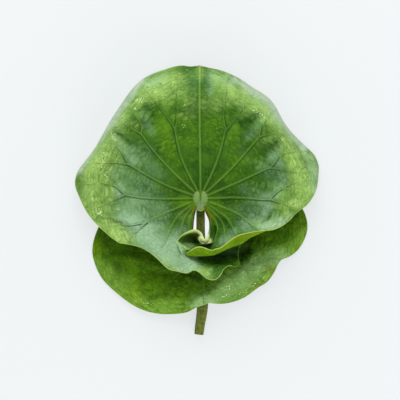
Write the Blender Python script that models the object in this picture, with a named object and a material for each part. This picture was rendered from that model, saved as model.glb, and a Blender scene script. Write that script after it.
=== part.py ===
"""A cut lotus leaf lying on its back: an upper blade, a lower blade and the stem that carries both.

X runs to the right, Y towards the upper blade's tip and Z up from the surface that the leaf lies on.
Lengths in the tables below are in millimetres; the meshes are in metres.
"""

import math

import bmesh
import bpy
import numpy as np

MM = 0.001

# The whole leaf is moved by this much, so that the origin is the middle of its footprint on the surface.
PLACE = (3.95, 0.31, -0.28)

# The blade between its ribs, and the blade with a rib under it.
BLADE_THICKNESS = 0.8
RIB_THICKNESS = 2.3
RIB_HALF_WIDTH_AT_CENTRE = 1.3
RIB_HALF_WIDTH_AT_END = 0.6

# Each blade is spanned by curves that run from its centre to its margin. A station is a curve's number,
# counted from the midrib: minus to the right and plus to the left, with one main rib on each whole number.
# A depth is how far along its curve a point is, from 0 at the central pad to 1 at the margin.

UPPER_PAD_CENTRE = (-0.5, 1.0, 30.0)
UPPER_PAD_RADII = (8.2, 9.5)
UPPER_PAD_EDGE_HEIGHT = 30.4
UPPER_LIP = [(2.0, -9.8, 30.2), (-0.5, -11.0, 30.0), (-3.2, -9.8, 30.2)]
UPPER_LAST_RIB = 8
UPPER_RIB_END = 0.72

# Station and direction in degrees in which its curve leaves the pad.
UPPER_START = [
    (-10.2, -62), (-8.0, -52), (-7.0, -42), (-6.0, -31), (-5.0, -18), (-4.0, 2), (-3.0, 23), (-2.0, 45),
    (-1.0, 67), (0.0, 90), (1.0, 113), (2.0, 135), (3.0, 157), (4.0, 178), (5.0, 198), (6.0, 212),
    (7.0, 223), (8.0, 233), (9.3, 241),
]

# Station, then X, Y and Z, on the lines that go round the blade at the depths in UPPER_DEPTHS.
UPPER_WALL = [
    (-10.2, 8.0, -19.5, 31.5), (-8.0, 11.6, -18.0, 31.0), (-7.0, 16.0, -16.0, 31.5), (-6.0, 22.0, -14.8, 32.0),
    (-5.0, 33.0, -12.0, 33.0), (-4.0, 42.0, 2.0, 35.5), (-3.0, 41.0, 19.7, 36.5), (-2.0, 35.0, 36.5, 38.0),
    (-1.0, 18.5, 46.5, 38.0), (0.0, -1.0, 48.0, 34.5), (1.0, -21.0, 47.0, 38.0), (2.0, -36.0, 36.5, 38.5),
    (3.0, -43.0, 19.0, 37.0), (4.0, -48.0, 1.7, 36.0), (5.0, -38.0, -14.0, 33.0), (6.0, -25.5, -19.5, 31.0),
    (7.0, -17.0, -19.7, 30.5), (8.0, -11.0, -20.0, 30.3), (9.3, -7.8, -20.0, 30.2),
]
UPPER_SHOULDER = [
    (-10.2, 8.0, -33.5, 38.0), (-10.0, 8.4, -37.0, 39.5), (-9.6, 8.6, -40.5, 40.5), (-9.1, 9.6, -43.0, 41.0),
    (-8.6, 11.2, -43.0, 40.3), (-8.3, 12.8, -40.5, 39.5), (-8.0, 15.0, -36.0, 38.5), (-7.0, 23.5, -33.0, 38.0),
    (-6.0, 32.0, -28.5, 38.5), (-5.0, 49.0, -23.5, 40.0), (-4.0, 70.0, 0.5, 42.0), (-3.0, 70.0, 33.0, 47.0),
    (-2.0, 57.5, 62.0, 49.0), (-1.0, 27.5, 84.0, 53.0), (0.0, -1.5, 90.0, 43.5), (1.0, -28.5, 85.0, 53.0),
    (2.0, -59.5, 65.5, 50.0), (3.0, -73.5, 36.5, 48.0), (4.0, -79.0, 6.0, 44.5), (5.0, -61.0, -25.0, 39.0),
    (6.0, -34.5, -38.0, 36.5), (7.0, -21.0, -40.0, 35.0), (8.0, -12.0, -41.0, 34.5), (8.7, -8.3, -40.8, 34.2),
    (9.3, -6.0, -39.5, 34.3),
]
UPPER_SLOPE = [
    (-10.2, 6.0, -39.0, 44.0), (-10.0, 1.0, -40.5, 46.0), (-9.8, -4.0, -39.5, 46.0), (-9.6, -9.0, -39.5, 45.5),
    (-9.35, -14.5, -40.5, 47.0), (-9.1, -18.5, -42.5, 53.0), (-8.85, -17.0, -47.5, 56.0),
    (-8.6, -13.5, -54.0, 54.0), (-8.3, -5.5, -57.0, 50.5), (-8.0, 5.0, -56.8, 50.0), (-7.0, 21.0, -52.5, 49.0),
    (-6.0, 40.0, -45.5, 48.0), (-5.0, 61.0, -33.5, 47.0), (-4.0, 94.0, 3.5, 37.0), (-3.0, 91.0, 42.0, 42.0),
    (-2.0, 69.0, 75.5, 46.0), (-1.0, 32.5, 105.0, 46.0), (0.0, -1.5, 115.0, 39.0), (1.0, -32.5, 111.0, 45.0),
    (2.0, -70.0, 84.0, 46.0), (3.0, -93.0, 45.0, 42.0), (4.0, -103.0, 11.0, 38.0), (5.0, -76.0, -32.0, 38.0),
    (6.0, -41.0, -48.5, 41.0), (7.0, -22.5, -57.0, 42.0), (8.0, -8.0, -59.0, 41.0), (8.35, 2.0, -62.0, 40.5),
    (8.7, 13.0, -58.0, 38.5), (9.0, 17.5, -54.0, 37.5), (9.3, 17.0, -48.5, 37.0),
]
UPPER_MARGIN = [
    # The right lobe's crumpled corner, the little cup at its end and the rolled rim.
    (-10.2, 3.5, -42.0, 48.0), (-10.0, -0.5, -33.8, 53.0), (-9.8, -6.0, -30.6, 55.0), (-9.6, -13.0, -32.2, 56.0),
    (-9.35, -19.5, -36.0, 57.0), (-9.1, -23.0, -42.0, 57.0), (-8.85, -21.5, -49.0, 54.0),
    (-8.6, -17.0, -54.0, 55.0), (-8.3, -4.5, -46.8, 59.5), (-8.0, 7.0, -48.8, 60.0), (-7.5, 13.5, -48.7, 59.5),
    (-7.0, 20.0, -46.8, 59.0), (-6.5, 29.5, -39.5, 57.5), (-6.0, 39.0, -34.4, 56.0), (-5.5, 50.0, -32.0, 54.0),
    (-5.0, 62.0, -30.3, 51.0),
    # The right side.
    (-4.85, 69.0, -29.8, 48.0), (-4.7, 78.0, -27.4, 44.0), (-4.55, 89.0, -19.5, 38.0), (-4.4, 95.5, -12.8, 32.0),
    (-4.25, 104.0, -7.0, 26.0), (-4.0, 115.0, 8.5, 17.0), (-3.7, 118.0, 25.0, 11.0), (-3.5, 118.3, 34.0, 8.0),
    (-3.3, 115.5, 42.5, 6.0), (-3.0, 109.0, 50.5, 5.0), (-2.65, 94.0, 65.0, 3.0), (-2.3, 82.5, 80.0, 2.0),
    # The top, with the tip at station 0.
    (-2.0, 76.0, 92.0, 1.0), (-1.7, 67.0, 103.5, 1.0), (-1.4, 53.0, 112.5, 3.0), (-1.0, 38.0, 122.5, 7.0),
    (-0.6, 19.0, 130.5, 13.0), (-0.25, 7.5, 132.8, 18.0), (0.0, -1.5, 134.5, 19.5), (0.25, -11.0, 134.0, 18.0),
    (0.5, -18.5, 135.0, 14.5), (0.75, -28.0, 133.8, 10.5), (1.0, -36.0, 131.4, 7.0), (1.33, -51.0, 126.0, 3.5),
    (1.6, -63.0, 118.0, 1.5), (1.8, -71.0, 109.5, 1.0), (2.0, -78.5, 99.0, 1.0), (2.4, -91.0, 80.0, 1.0),
    (2.7, -101.0, 62.0, 2.5),
    # The left side.
    (3.0, -110.0, 47.5, 5.0), (3.35, -120.5, 34.0, 8.0), (3.75, -126.2, 21.5, 10.0), (4.0, -126.0, 13.0, 14.0),
    (4.2, -123.0, 5.0, 17.0), (4.45, -117.0, -8.0, 20.0), (4.7, -106.0, -23.0, 25.0), (4.85, -96.0, -32.2, 29.0),
    (5.0, -87.0, -39.5, 32.0), (5.3, -77.0, -43.6, 35.0), (5.6, -64.0, -46.0, 38.5),
    # The left lobe, with its waved margin, and its end under the right lobe.
    (6.0, -50.0, -53.0, 42.0), (6.35, -41.0, -61.0, 44.0), (6.65, -33.5, -68.0, 45.5), (7.0, -25.0, -70.8, 46.0),
    (7.5, -13.0, -72.6, 46.0), (8.0, -2.0, -72.2, 45.0), (8.15, 4.0, -77.0, 46.0), (8.32, 12.0, -79.8, 46.0),
    (8.47, 19.0, -75.6, 45.0), (8.58, 23.5, -68.4, 43.0), (8.7, 29.0, -65.2, 41.0), (8.85, 34.0, -66.8, 39.5),
    (9.0, 38.3, -63.8, 38.0), (9.13, 36.8, -56.3, 37.0), (9.3, 39.5, -45.0, 36.0),
]
UPPER_DEPTHS = (0.0, 0.35, 0.65, 0.85, 1.0)

# The blade sinks between its ribs: how far, for each gap between two ribs, and at which depth it is deepest.
UPPER_PLEATS = {
    -6.5: 1.5, -5.5: 2.0, -4.5: 2.0, -3.5: 2.5, -2.5: 4.5, -1.5: 5.5, -0.5: 1.5,
    0.5: 1.5, 1.5: 5.5, 2.5: 4.5, 3.5: 2.5, 4.5: 2.0, 5.5: 1.5, 6.5: 1.0,
}
PLEAT_DEEPEST_AT = 0.7
PLEAT_REACH = 0.32

UPPER_DEPTH_STEPS = (0.0, 0.07, 0.14, 0.21, 0.28, 0.35, 0.43, 0.51, 0.58, 0.65, 0.72, 0.79, 0.85, 0.9, 0.95, 1.0)
UPPER_LOBE_COLUMNS = (
    [-10.2, -10.1, -10.0, -9.9, -9.8, -9.6, -9.45, -9.3, -9.2, -9.1, -9.0, -8.85, -8.7, -8.6, -8.45, -8.3],
    [8.16, 8.32, 8.45, 8.57, 8.7, 8.85, 9.0, 9.12, 9.3],
)

LOWER_PAD_CENTRE = (1.5, -51.0, 22.3)
LOWER_PAD_RADII = (8.5, 7.0)
LOWER_PAD_EDGE_HEIGHT = 22.4
LOWER_LIP = [(-2.0, -45.0, 22.6), (1.0, -44.0, 22.7), (4.5, -45.0, 22.6)]
LOWER_LAST_RIB = 6
LOWER_RIB_END = 0.75

# Station, direction in degrees from the pad, and the height of the two lines that go round between
# the pad and the margin. The tip, at station 0, points along minus Y.
LOWER_STATIONS = [
    (-6.0, 45, 16.0, 14.0), (-5.0, 22, 18.0, 13.0), (-4.0, 0, 20.5, 14.0), (-3.0, -22, 22.5, 17.5),
    (-2.0, -45, 24.0, 17.5), (-1.0, -68, 24.5, 19.0), (0.0, -90, 23.0, 19.5), (1.0, -112, 24.5, 18.5),
    (2.0, -135, 24.0, 16.5), (3.0, -158, 22.5, 14.0), (4.0, -180, 20.5, 12.5), (5.0, -202, 18.0, 12.5),
    (6.0, -225, 16.0, 13.0),
]
LOWER_MARGIN = [
    # The right lobe, hidden under the upper blade, and the right side.
    (-6.0, 40.0, -12.0, 13.0), (-5.7, 52.0, -3.0, 11.0), (-5.35, 78.0, 2.0, 6.0), (-5.0, 99.0, -5.0, 3.0),
    (-4.75, 105.5, -17.0, 1.5), (-4.55, 107.0, -26.0, 1.0), (-4.4, 106.2, -33.0, 1.5), (-4.2, 102.3, -42.8, 2.5),
    (-4.0, 96.5, -51.0, 4.0), (-3.8, 88.0, -57.2, 6.5), (-3.6, 81.0, -60.0, 9.0), (-3.4, 76.8, -65.5, 10.5),
    (-3.2, 73.5, -72.5, 10.0), (-3.0, 68.7, -79.7, 9.0), (-2.5, 59.0, -87.0, 8.5), (-2.0, 49.0, -94.4, 8.0),
    (-1.5, 38.0, -100.4, 9.0), (-1.0, 22.5, -104.1, 12.0),
    # The tip, which lies over the stem.
    (-0.4, 8.0, -103.4, 15.8), (0.0, 3.5, -104.9, 16.2), (0.3, -5.0, -108.0, 14.5), (0.6, -12.0, -111.8, 12.0),
    # The left side and the left lobe.
    (1.0, -22.0, -114.0, 10.0), (1.5, -40.0, -114.5, 7.5), (2.0, -59.5, -110.0, 6.0), (2.5, -76.0, -100.5, 4.5),
    (3.0, -91.0, -88.0, 3.0), (3.4, -101.0, -76.4, 2.0), (3.7, -106.5, -64.5, 1.2), (4.0, -109.2, -52.0, 1.0),
    (4.3, -107.6, -40.0, 1.3), (4.6, -103.5, -28.5, 2.0), (5.0, -92.0, -12.0, 4.0), (5.4, -70.0, -4.0, 8.0),
    (5.75, -49.0, -5.0, 11.0), (6.0, -38.0, -12.0, 12.0),
]
LOWER_DEPTHS = (0.0, 0.4, 0.75, 1.0)
LOWER_DEPTH_STEPS = (0.0, 0.12, 0.25, 0.38, 0.51, 0.64, 0.76, 0.88, 1.0)

# X, Y, Z and radius along the middle of the stem, from the upper blade's pad to the cut end.
STEM = [
    (-0.5, 2.0, 28.7, 3.6), (-0.5, 1.7, 26.0, 4.0), (-0.5, -2.2, 22.4, 4.3), (-0.5, -9.0, 20.7, 4.3),
    (-0.4, -20.0, 19.6, 4.3), (-0.3, -35.0, 18.0, 4.4), (0.6, -50.0, 16.1, 4.7), (1.6, -70.0, 13.2, 5.1),
    (2.2, -88.0, 10.6, 5.4), (1.6, -105.0, 8.3, 5.5), (0.6, -116.0, 6.9, 5.2), (-0.9, -125.5, 5.8, 4.9),
    (-2.1, -135.0, 5.0, 4.6),
]
STEM_SIDES = 12
STEM_RINGS = 37

# Colour in linear light, and roughness.
UPPER_LOOK = ((0.11, 0.25, 0.06), 0.55)
LOWER_LOOK = ((0.08, 0.2, 0.03), 0.55)
STEM_LOOK = ((0.1, 0.14, 0.03), 0.6)


def clear_scene():
    for obj in list(bpy.data.objects):
        bpy.data.objects.remove(obj, do_unlink=True)


def spline_weights(knots, places):
    """The matrix that turns values at the knots into values of a natural cubic spline at the places."""
    knots = np.asarray(knots, float)
    places = np.asarray(places, float)
    count = len(knots)
    gaps = np.diff(knots)
    bend = np.eye(count)
    slope_change = np.zeros((count, count))
    for k in range(1, count - 1):
        bend[k, k - 1 : k + 2] = gaps[k - 1], 2 * (gaps[k - 1] + gaps[k]), gaps[k]
        slope_change[k, k - 1 : k + 2] = 6 / gaps[k - 1], -6 / gaps[k - 1] - 6 / gaps[k], 6 / gaps[k]
    curvature = np.linalg.solve(bend, slope_change)
    left = np.clip(np.searchsorted(knots, places, side="right") - 1, 0, count - 2)
    gap = gaps[left]
    after = (places - knots[left]) / gap
    before = 1 - after
    rows = np.arange(len(places))
    weights = np.zeros((len(places), count))
    weights[rows, left] += before
    weights[rows, left + 1] += after
    weights += ((before**3 - before) * gap**2 / 6)[:, None] * curvature[left]
    weights += ((after**3 - after) * gap**2 / 6)[:, None] * curvature[left + 1]
    return weights


def line_around(table, stations):
    """Points at the stations on a line given as rows of station, X, Y and Z."""
    table = np.array(table, float)
    return spline_weights(table[:, 0], stations) @ table[:, 1:]


def pad_edge(starts, centre, radii, height, stations):
    """Points at the stations on a pad's oval edge."""
    starts = np.array(starts, float)
    turn = np.radians(np.interp(stations, starts[:, 0], starts[:, 1]))
    x = centre[0] + radii[0] * np.cos(turn)
    y = centre[1] + radii[1] * np.sin(turn)
    return np.stack([x, y, np.full_like(x, height)], axis=1)


def upper_row(depth, stations):
    """Points of the upper blade at one depth."""
    lines = [pad_edge(UPPER_START, UPPER_PAD_CENTRE, UPPER_PAD_RADII, UPPER_PAD_EDGE_HEIGHT, stations)]
    for table in (UPPER_WALL, UPPER_SHOULDER, UPPER_SLOPE, UPPER_MARGIN):
        lines.append(line_around(table, stations))
    points = np.tensordot(spline_weights(UPPER_DEPTHS, [depth])[0], np.array(lines), axes=1)
    points[:, 2] -= pleat(depth, stations)
    return points


def pleat(depth, stations):
    """How far the upper blade sinks between its ribs, at one depth."""
    off = min(1.0, abs(depth - PLEAT_DEEPEST_AT) / PLEAT_REACH)
    sink = np.zeros(len(stations))
    for middle, deepest in UPPER_PLEATS.items():
        beside = np.clip(np.abs(stations - middle) / 0.5, 0, 1)
        sink += deepest * np.cos(beside * math.pi / 2) ** 2
    return sink * math.cos(off * math.pi / 2) ** 2


def lower_row(depth, stations):
    """Points of the lower blade at one depth."""
    table = np.array(LOWER_STATIONS, float)
    edge = pad_edge(LOWER_STATIONS, LOWER_PAD_CENTRE, LOWER_PAD_RADII, LOWER_PAD_EDGE_HEIGHT, stations)
    margin = line_around(LOWER_MARGIN, stations)
    lines = [edge]
    for share, column in ((LOWER_DEPTHS[1], 2), (LOWER_DEPTHS[2], 3)):
        line = edge + share * (margin - edge)
        line[:, 2] = spline_weights(table[:, 0], stations) @ table[:, column]
        lines.append(line)
    lines.append(margin)
    return np.tensordot(spline_weights(LOWER_DEPTHS, [depth])[0], np.array(lines), axes=1)


def rib_half_width(row, depth, last_rib, rib_end):
    """How much of a station a rib takes to each side, for every rib, at one depth. Past its end it is a quarter."""
    ribs = np.arange(-last_rib, last_rib + 1, dtype=float)
    step = 0.25
    points = row(depth, np.concatenate([ribs - step, ribs + step]).clip(-last_rib, last_rib))
    apart = np.linalg.norm(points[len(ribs) :] - points[: len(ribs)], axis=1)
    apart[[0, -1]] *= 2
    width = RIB_HALF_WIDTH_AT_CENTRE + depth * (RIB_HALF_WIDTH_AT_END - RIB_HALF_WIDTH_AT_CENTRE)
    half = np.minimum(0.28, width * 2 * step / apart)
    spread = max(0.0, (depth - rib_end) / (1 - rib_end))
    return half + (0.25 - half) * spread


def columns_at(row, depth, last_rib, rib_end, before, after):
    """The stations of the mesh columns at one depth: a rib is three columns wide, with one more between ribs."""
    half = rib_half_width(row, depth, last_rib, rib_end)
    stations = list(before)
    for rib in range(-last_rib, last_rib + 1):
        own = half[rib + last_rib]
        stations += [rib - own] if rib > -last_rib or before else []
        stations.append(rib)
        stations += [rib + own] if rib < last_rib or after else []
        stations += [rib + 0.5] if rib < last_rib else []
    return np.array(stations + list(after), float)


def is_rib_column(last_rib, before, after):
    """Whether each mesh column runs along the middle of a rib."""
    middle = [False] * len(before)
    for rib in range(-last_rib, last_rib + 1):
        middle += [False] if rib > -last_rib or before else []
        middle.append(True)
        middle += [False] if rib < last_rib or after else []
        middle += [False] if rib < last_rib else []
    return middle + [False] * len(after)


def make_material(name, look):
    colour, roughness = look
    material = bpy.data.materials.new(name)
    material.use_nodes = True
    shader = material.node_tree.nodes["Principled BSDF"]
    shader.inputs["Base Color"].default_value = (*colour, 1)
    shader.inputs["Roughness"].default_value = roughness
    shader.inputs["Metallic"].default_value = 0
    return material


def add_object(name, mesh, look):
    mesh.materials.append(make_material(name, look))
    mesh.shade_smooth()
    obj = bpy.data.objects.new(name, mesh)
    bpy.context.scene.collection.objects.link(obj)
    return obj


def placed(point):
    return [(value + offset) * MM for value, offset in zip(point, PLACE)]


def add_blade(name, look, row, depths, last_rib, rib_end, lobe_columns, centre, lip):
    """A blade as one sheet from its pad to its margin, thickened downwards, with ribs on its underside."""
    before, after = lobe_columns
    middle = is_rib_column(last_rib, before, after)
    sheet = bmesh.new()
    rows = []
    rib_strength = []
    for depth in depths:
        stations = columns_at(row, depth, last_rib, rib_end, before, after)
        rows.append([sheet.verts.new(placed(point)) for point in row(depth, stations)])
        fade = max(0.0, 1 - depth / rib_end)
        rib_strength += [fade**0.5 if on_rib and depth > 0 else 0.0 for on_rib in middle]
    for inner, outer in zip(rows, rows[1:]):
        for k in range(len(inner) - 1):
            sheet.faces.new((inner[k], outer[k], outer[k + 1], inner[k + 1]))
    pad_ring = rows[0] + [sheet.verts.new(placed(point)) for point in reversed(lip)]
    pole = sheet.verts.new(placed(centre))
    for k, vertex in enumerate(pad_ring):
        sheet.faces.new((pole, vertex, pad_ring[(k + 1) % len(pad_ring)]))
    bmesh.ops.recalc_face_normals(sheet, faces=sheet.faces)
    sheet.normal_update()
    if pole.normal.z < 0:
        bmesh.ops.reverse_faces(sheet, faces=sheet.faces)
    mesh = bpy.data.meshes.new(name)
    sheet.to_mesh(mesh)
    sheet.free()
    blade = add_object(name, mesh, look)
    ribs = blade.vertex_groups.new(name="ribs")
    for index, strength in enumerate(rib_strength):
        if strength > 0:
            ribs.add([index], strength, "REPLACE")
    thicken = blade.modifiers.new("thickness", "SOLIDIFY")
    thicken.thickness = RIB_THICKNESS * MM
    thicken.offset = -1
    thicken.vertex_group = ribs.name
    thicken.thickness_vertex_group = BLADE_THICKNESS / RIB_THICKNESS
    return blade


def add_stem():
    """The stem as a tube that thickens downwards, with flat ends."""
    table = np.array(STEM, float)
    length = np.concatenate([[0], np.cumsum(np.linalg.norm(np.diff(table[:, :3], axis=0), axis=1))])
    places = np.interp(np.linspace(0, len(table) - 1, STEM_RINGS), np.arange(len(table)), length)
    path = spline_weights(length, places) @ table
    a_little = 0.05
    ahead = spline_weights(length, places + a_little) @ table[:, :3]
    heading = ahead - spline_weights(length, places - a_little) @ table[:, :3]
    heading /= np.linalg.norm(heading, axis=1)[:, None]
    across = np.array([1.0, 0.0, 0.0])
    tube = bmesh.new()
    rings = []
    for (x, y, z, radius), along in zip(path, heading):
        side = across - along * (across @ along)
        side /= np.linalg.norm(side)
        other = np.cross(along, side)
        ring = []
        for k in range(STEM_SIDES):
            turn = 2 * math.pi * k / STEM_SIDES
            offset = radius * (math.cos(turn) * side + math.sin(turn) * other)
            ring.append(tube.verts.new(placed((x + offset[0], y + offset[1], z + offset[2]))))
        rings.append(ring)
    for ring, following in zip(rings, rings[1:]):
        for k in range(STEM_SIDES):
            after = (k + 1) % STEM_SIDES
            tube.faces.new((ring[k], ring[after], following[after], following[k]))
    tube.faces.new(rings[0])
    tube.faces.new(rings[-1])
    bmesh.ops.recalc_face_normals(tube, faces=tube.faces)
    mesh = bpy.data.meshes.new("stem")
    tube.to_mesh(mesh)
    tube.free()
    return add_object("stem", mesh, STEM_LOOK)


def main():
    clear_scene()
    add_blade(
        "upper_blade", UPPER_LOOK, upper_row, UPPER_DEPTH_STEPS, UPPER_LAST_RIB, UPPER_RIB_END,
        UPPER_LOBE_COLUMNS, UPPER_PAD_CENTRE, UPPER_LIP,
    )
    add_blade(
        "lower_blade", LOWER_LOOK, lower_row, LOWER_DEPTH_STEPS, LOWER_LAST_RIB, LOWER_RIB_END,
        ([], []), LOWER_PAD_CENTRE, LOWER_LIP,
    )
    add_stem()


main()
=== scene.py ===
"""The looks of a cut lotus leaf that lies on its back.

It has an upper blade, a lower blade and the stem that carries both. X runs to the right, Y towards the
upper blade's tip and Z up from the surface that the leaf lies on. Lengths in the tables below are in
millimetres; the meshes are in metres.
"""

import math

import bpy
import numpy as np
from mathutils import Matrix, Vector, noise
from mathutils.bvhtree import BVHTree
from mathutils.kdtree import KDTree


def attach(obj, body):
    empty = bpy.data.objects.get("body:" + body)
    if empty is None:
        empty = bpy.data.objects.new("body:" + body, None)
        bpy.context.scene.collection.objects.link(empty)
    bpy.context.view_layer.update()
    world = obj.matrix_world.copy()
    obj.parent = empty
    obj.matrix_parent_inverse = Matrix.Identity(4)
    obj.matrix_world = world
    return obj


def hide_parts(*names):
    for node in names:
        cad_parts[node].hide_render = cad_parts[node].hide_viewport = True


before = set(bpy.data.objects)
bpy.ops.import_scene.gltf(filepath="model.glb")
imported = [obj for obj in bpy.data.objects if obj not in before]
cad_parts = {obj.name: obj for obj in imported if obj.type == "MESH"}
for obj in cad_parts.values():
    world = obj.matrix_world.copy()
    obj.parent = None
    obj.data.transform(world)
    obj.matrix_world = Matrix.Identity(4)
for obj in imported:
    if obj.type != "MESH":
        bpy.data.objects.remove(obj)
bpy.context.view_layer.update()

MM = 0.001

# The whole leaf is moved by this much, as the solids are.
PLACE = (3.95, 0.31, -0.28)

# Each blade is spanned by curves that run from its centre to its margin. A station is a curve's number,
# counted from the midrib: minus to the right and plus to the left, with one main rib on each whole number.
# A depth is how far along its curve a point is, from 0 at the central pad to 1 at the margin.

UPPER_PAD_CENTRE = (-0.5, 1.0, 30.0)
UPPER_PAD_RADII = (8.2, 9.5)
UPPER_PAD_EDGE_HEIGHT = 30.4
UPPER_LIP = [(2, -9.8, 30.2), (-0.5, -11, 30), (-3.2, -9.8, 30.2)]

# Station and direction in degrees in which its curve leaves the pad.
UPPER_START = [
    (-10.2, -62), (-8, -52), (-7, -42), (-6, -31), (-5, -18), (-4, 2), (-3, 23), (-2, 45), (-1, 67),
    (0, 90), (1, 113), (2, 135), (3, 157), (4, 178), (5, 198), (6, 212), (7, 223), (8, 233), (9.3, 241),
]

# Station, then X, Y and Z, on the lines that go round the blade at the depths in UPPER_DEPTHS.
UPPER_WALL = [
    (-10.2, 8, -19.5, 31.5), (-8, 11.6, -18, 31), (-7, 16, -16, 31.5), (-6, 22, -14.8, 32),
    (-5, 33, -12, 33), (-4, 42, 2, 35.5), (-3, 41, 19.7, 36.5), (-2, 35, 36.5, 38), (-1, 18.5, 46.5, 38),
    (0, -1, 48, 34.5), (1, -21, 47, 38), (2, -36, 36.5, 38.5), (3, -43, 19, 37), (4, -48, 1.7, 36),
    (5, -38, -14, 33), (6, -25.5, -19.5, 31), (7, -17, -19.7, 30.5), (8, -11, -20, 30.3),
    (9.3, -7.8, -20, 30.2),
]
UPPER_SHOULDER = [
    (-10.2, 8, -33.5, 38), (-10, 8.4, -37, 39.5), (-9.6, 8.6, -40.5, 40.5), (-9.1, 9.6, -43, 41),
    (-8.6, 11.2, -43, 40.3), (-8.3, 12.8, -40.5, 39.5), (-8, 15, -36, 38.5), (-7, 23.5, -33, 38),
    (-6, 32, -28.5, 38.5), (-5, 49, -23.5, 40), (-4, 70, 0.5, 42), (-3, 70, 33, 47), (-2, 57.5, 62, 49),
    (-1, 27.5, 84, 53), (0, -1.5, 90, 43.5), (1, -28.5, 85, 53), (2, -59.5, 65.5, 50), (3, -73.5, 36.5, 48),
    (4, -79, 6, 44.5), (5, -61, -25, 39), (6, -34.5, -38, 36.5), (7, -21, -40, 35), (8, -12, -41, 34.5),
    (8.7, -8.3, -40.8, 34.2), (9.3, -6, -39.5, 34.3),
]
UPPER_SLOPE = [
    (-10.2, 6, -39, 44), (-10, 1, -40.5, 46), (-9.8, -4, -39.5, 46), (-9.6, -9, -39.5, 45.5),
    (-9.35, -14.5, -40.5, 47), (-9.1, -18.5, -42.5, 53), (-8.85, -17, -47.5, 56), (-8.6, -13.5, -54, 54),
    (-8.3, -5.5, -57, 50.5), (-8, 5, -56.8, 50), (-7, 21, -52.5, 49), (-6, 40, -45.5, 48),
    (-5, 61, -33.5, 47), (-4, 94, 3.5, 37), (-3, 91, 42, 42), (-2, 69, 75.5, 46), (-1, 32.5, 105, 46),
    (0, -1.5, 115, 39), (1, -32.5, 111, 45), (2, -70, 84, 46), (3, -93, 45, 42), (4, -103, 11, 38),
    (5, -76, -32, 38), (6, -41, -48.5, 41), (7, -22.5, -57, 42), (8, -8, -59, 41), (8.35, 2, -62, 40.5),
    (8.7, 13, -58, 38.5), (9, 17.5, -54, 37.5), (9.3, 17, -48.5, 37),
]
UPPER_MARGIN = [
    # The right lobe's crumpled corner, the little cup at its end and the rolled rim.
    (-10.2, 3.5, -42, 48), (-10, -0.5, -33.8, 53), (-9.8, -6, -30.6, 55), (-9.6, -13, -32.2, 56),
    (-9.35, -19.5, -36, 57), (-9.1, -23, -42, 57), (-8.85, -21.5, -49, 54), (-8.6, -17, -54, 55),
    (-8.3, -4.5, -46.8, 59.5), (-8, 7, -48.8, 60), (-7.5, 13.5, -48.7, 59.5), (-7, 20, -46.8, 59),
    (-6.5, 29.5, -39.5, 57.5), (-6, 39, -34.4, 56), (-5.5, 50, -32, 54), (-5, 62, -30.3, 51),
    # The right side.
    (-4.85, 69, -29.8, 48), (-4.7, 78, -27.4, 44), (-4.55, 89, -19.5, 38), (-4.4, 95.5, -12.8, 32),
    (-4.25, 104, -7, 26), (-4, 115, 8.5, 17), (-3.7, 118, 25, 11), (-3.5, 118.3, 34, 8),
    (-3.3, 115.5, 42.5, 6), (-3, 109, 50.5, 5), (-2.65, 94, 65, 3), (-2.3, 82.5, 80, 2),
    # The top, with the tip at station 0.
    (-2, 76, 92, 1), (-1.7, 67, 103.5, 1), (-1.4, 53, 112.5, 3), (-1, 38, 122.5, 7), (-0.6, 19, 130.5, 13),
    (-0.25, 7.5, 132.8, 18), (0, -1.5, 134.5, 19.5), (0.25, -11, 134, 18), (0.5, -18.5, 135, 14.5),
    (0.75, -28, 133.8, 10.5), (1, -36, 131.4, 7), (1.33, -51, 126, 3.5), (1.6, -63, 118, 1.5),
    (1.8, -71, 109.5, 1), (2, -78.5, 99, 1), (2.4, -91, 80, 1), (2.7, -101, 62, 2.5),
    # The left side.
    (3, -110, 47.5, 5), (3.35, -120.5, 34, 8), (3.75, -126.2, 21.5, 10), (4, -126, 13, 14),
    (4.2, -123, 5, 17), (4.45, -117, -8, 20), (4.7, -106, -23, 25), (4.85, -96, -32.2, 29),
    (5, -87, -39.5, 32), (5.3, -77, -43.6, 35), (5.6, -64, -46, 38.5),
    # The left lobe, with its waved margin, and its end under the right lobe.
    (6, -50, -53, 42), (6.35, -41, -61, 44), (6.65, -33.5, -68, 45.5), (7, -25, -70.8, 46),
    (7.5, -13, -72.6, 46), (8, -2, -72.2, 45), (8.15, 4, -77, 46), (8.32, 12, -79.8, 46),
    (8.47, 19, -75.6, 45), (8.58, 23.5, -68.4, 43), (8.7, 29, -65.2, 41), (8.85, 34, -66.8, 39.5),
    (9, 38.3, -63.8, 38), (9.13, 36.8, -56.3, 37), (9.3, 39.5, -45, 36),
]
UPPER_DEPTHS = (0.0, 0.35, 0.65, 0.85, 1.0)

# The blade sinks between its ribs: how far, for each gap between two ribs, at which depth it is deepest,
# and how far the pleat reaches from there in depth and to both sides in stations.
UPPER_PLEATS = {
    -6.5: 1.5, -5.5: 2.0, -4.5: 2.0, -3.5: 2.5, -2.5: 4.5, -1.5: 5.5, -0.5: 1.5,
    0.5: 1.5, 1.5: 5.5, 2.5: 4.5, 3.5: 2.5, 4.5: 2.0, 5.5: 1.5, 6.5: 1.0,
}
PLEAT_DEEPEST_AT = 0.7
PLEAT_REACH = 0.32
PLEAT_HALF_WIDTH = 0.5

LOWER_PAD_CENTRE = (1.5, -51.0, 22.3)
LOWER_PAD_RADII = (8.5, 7.0)
LOWER_PAD_EDGE_HEIGHT = 22.4
LOWER_LIP = [(-2, -45, 22.6), (1, -44, 22.7), (4.5, -45, 22.6)]

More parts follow.
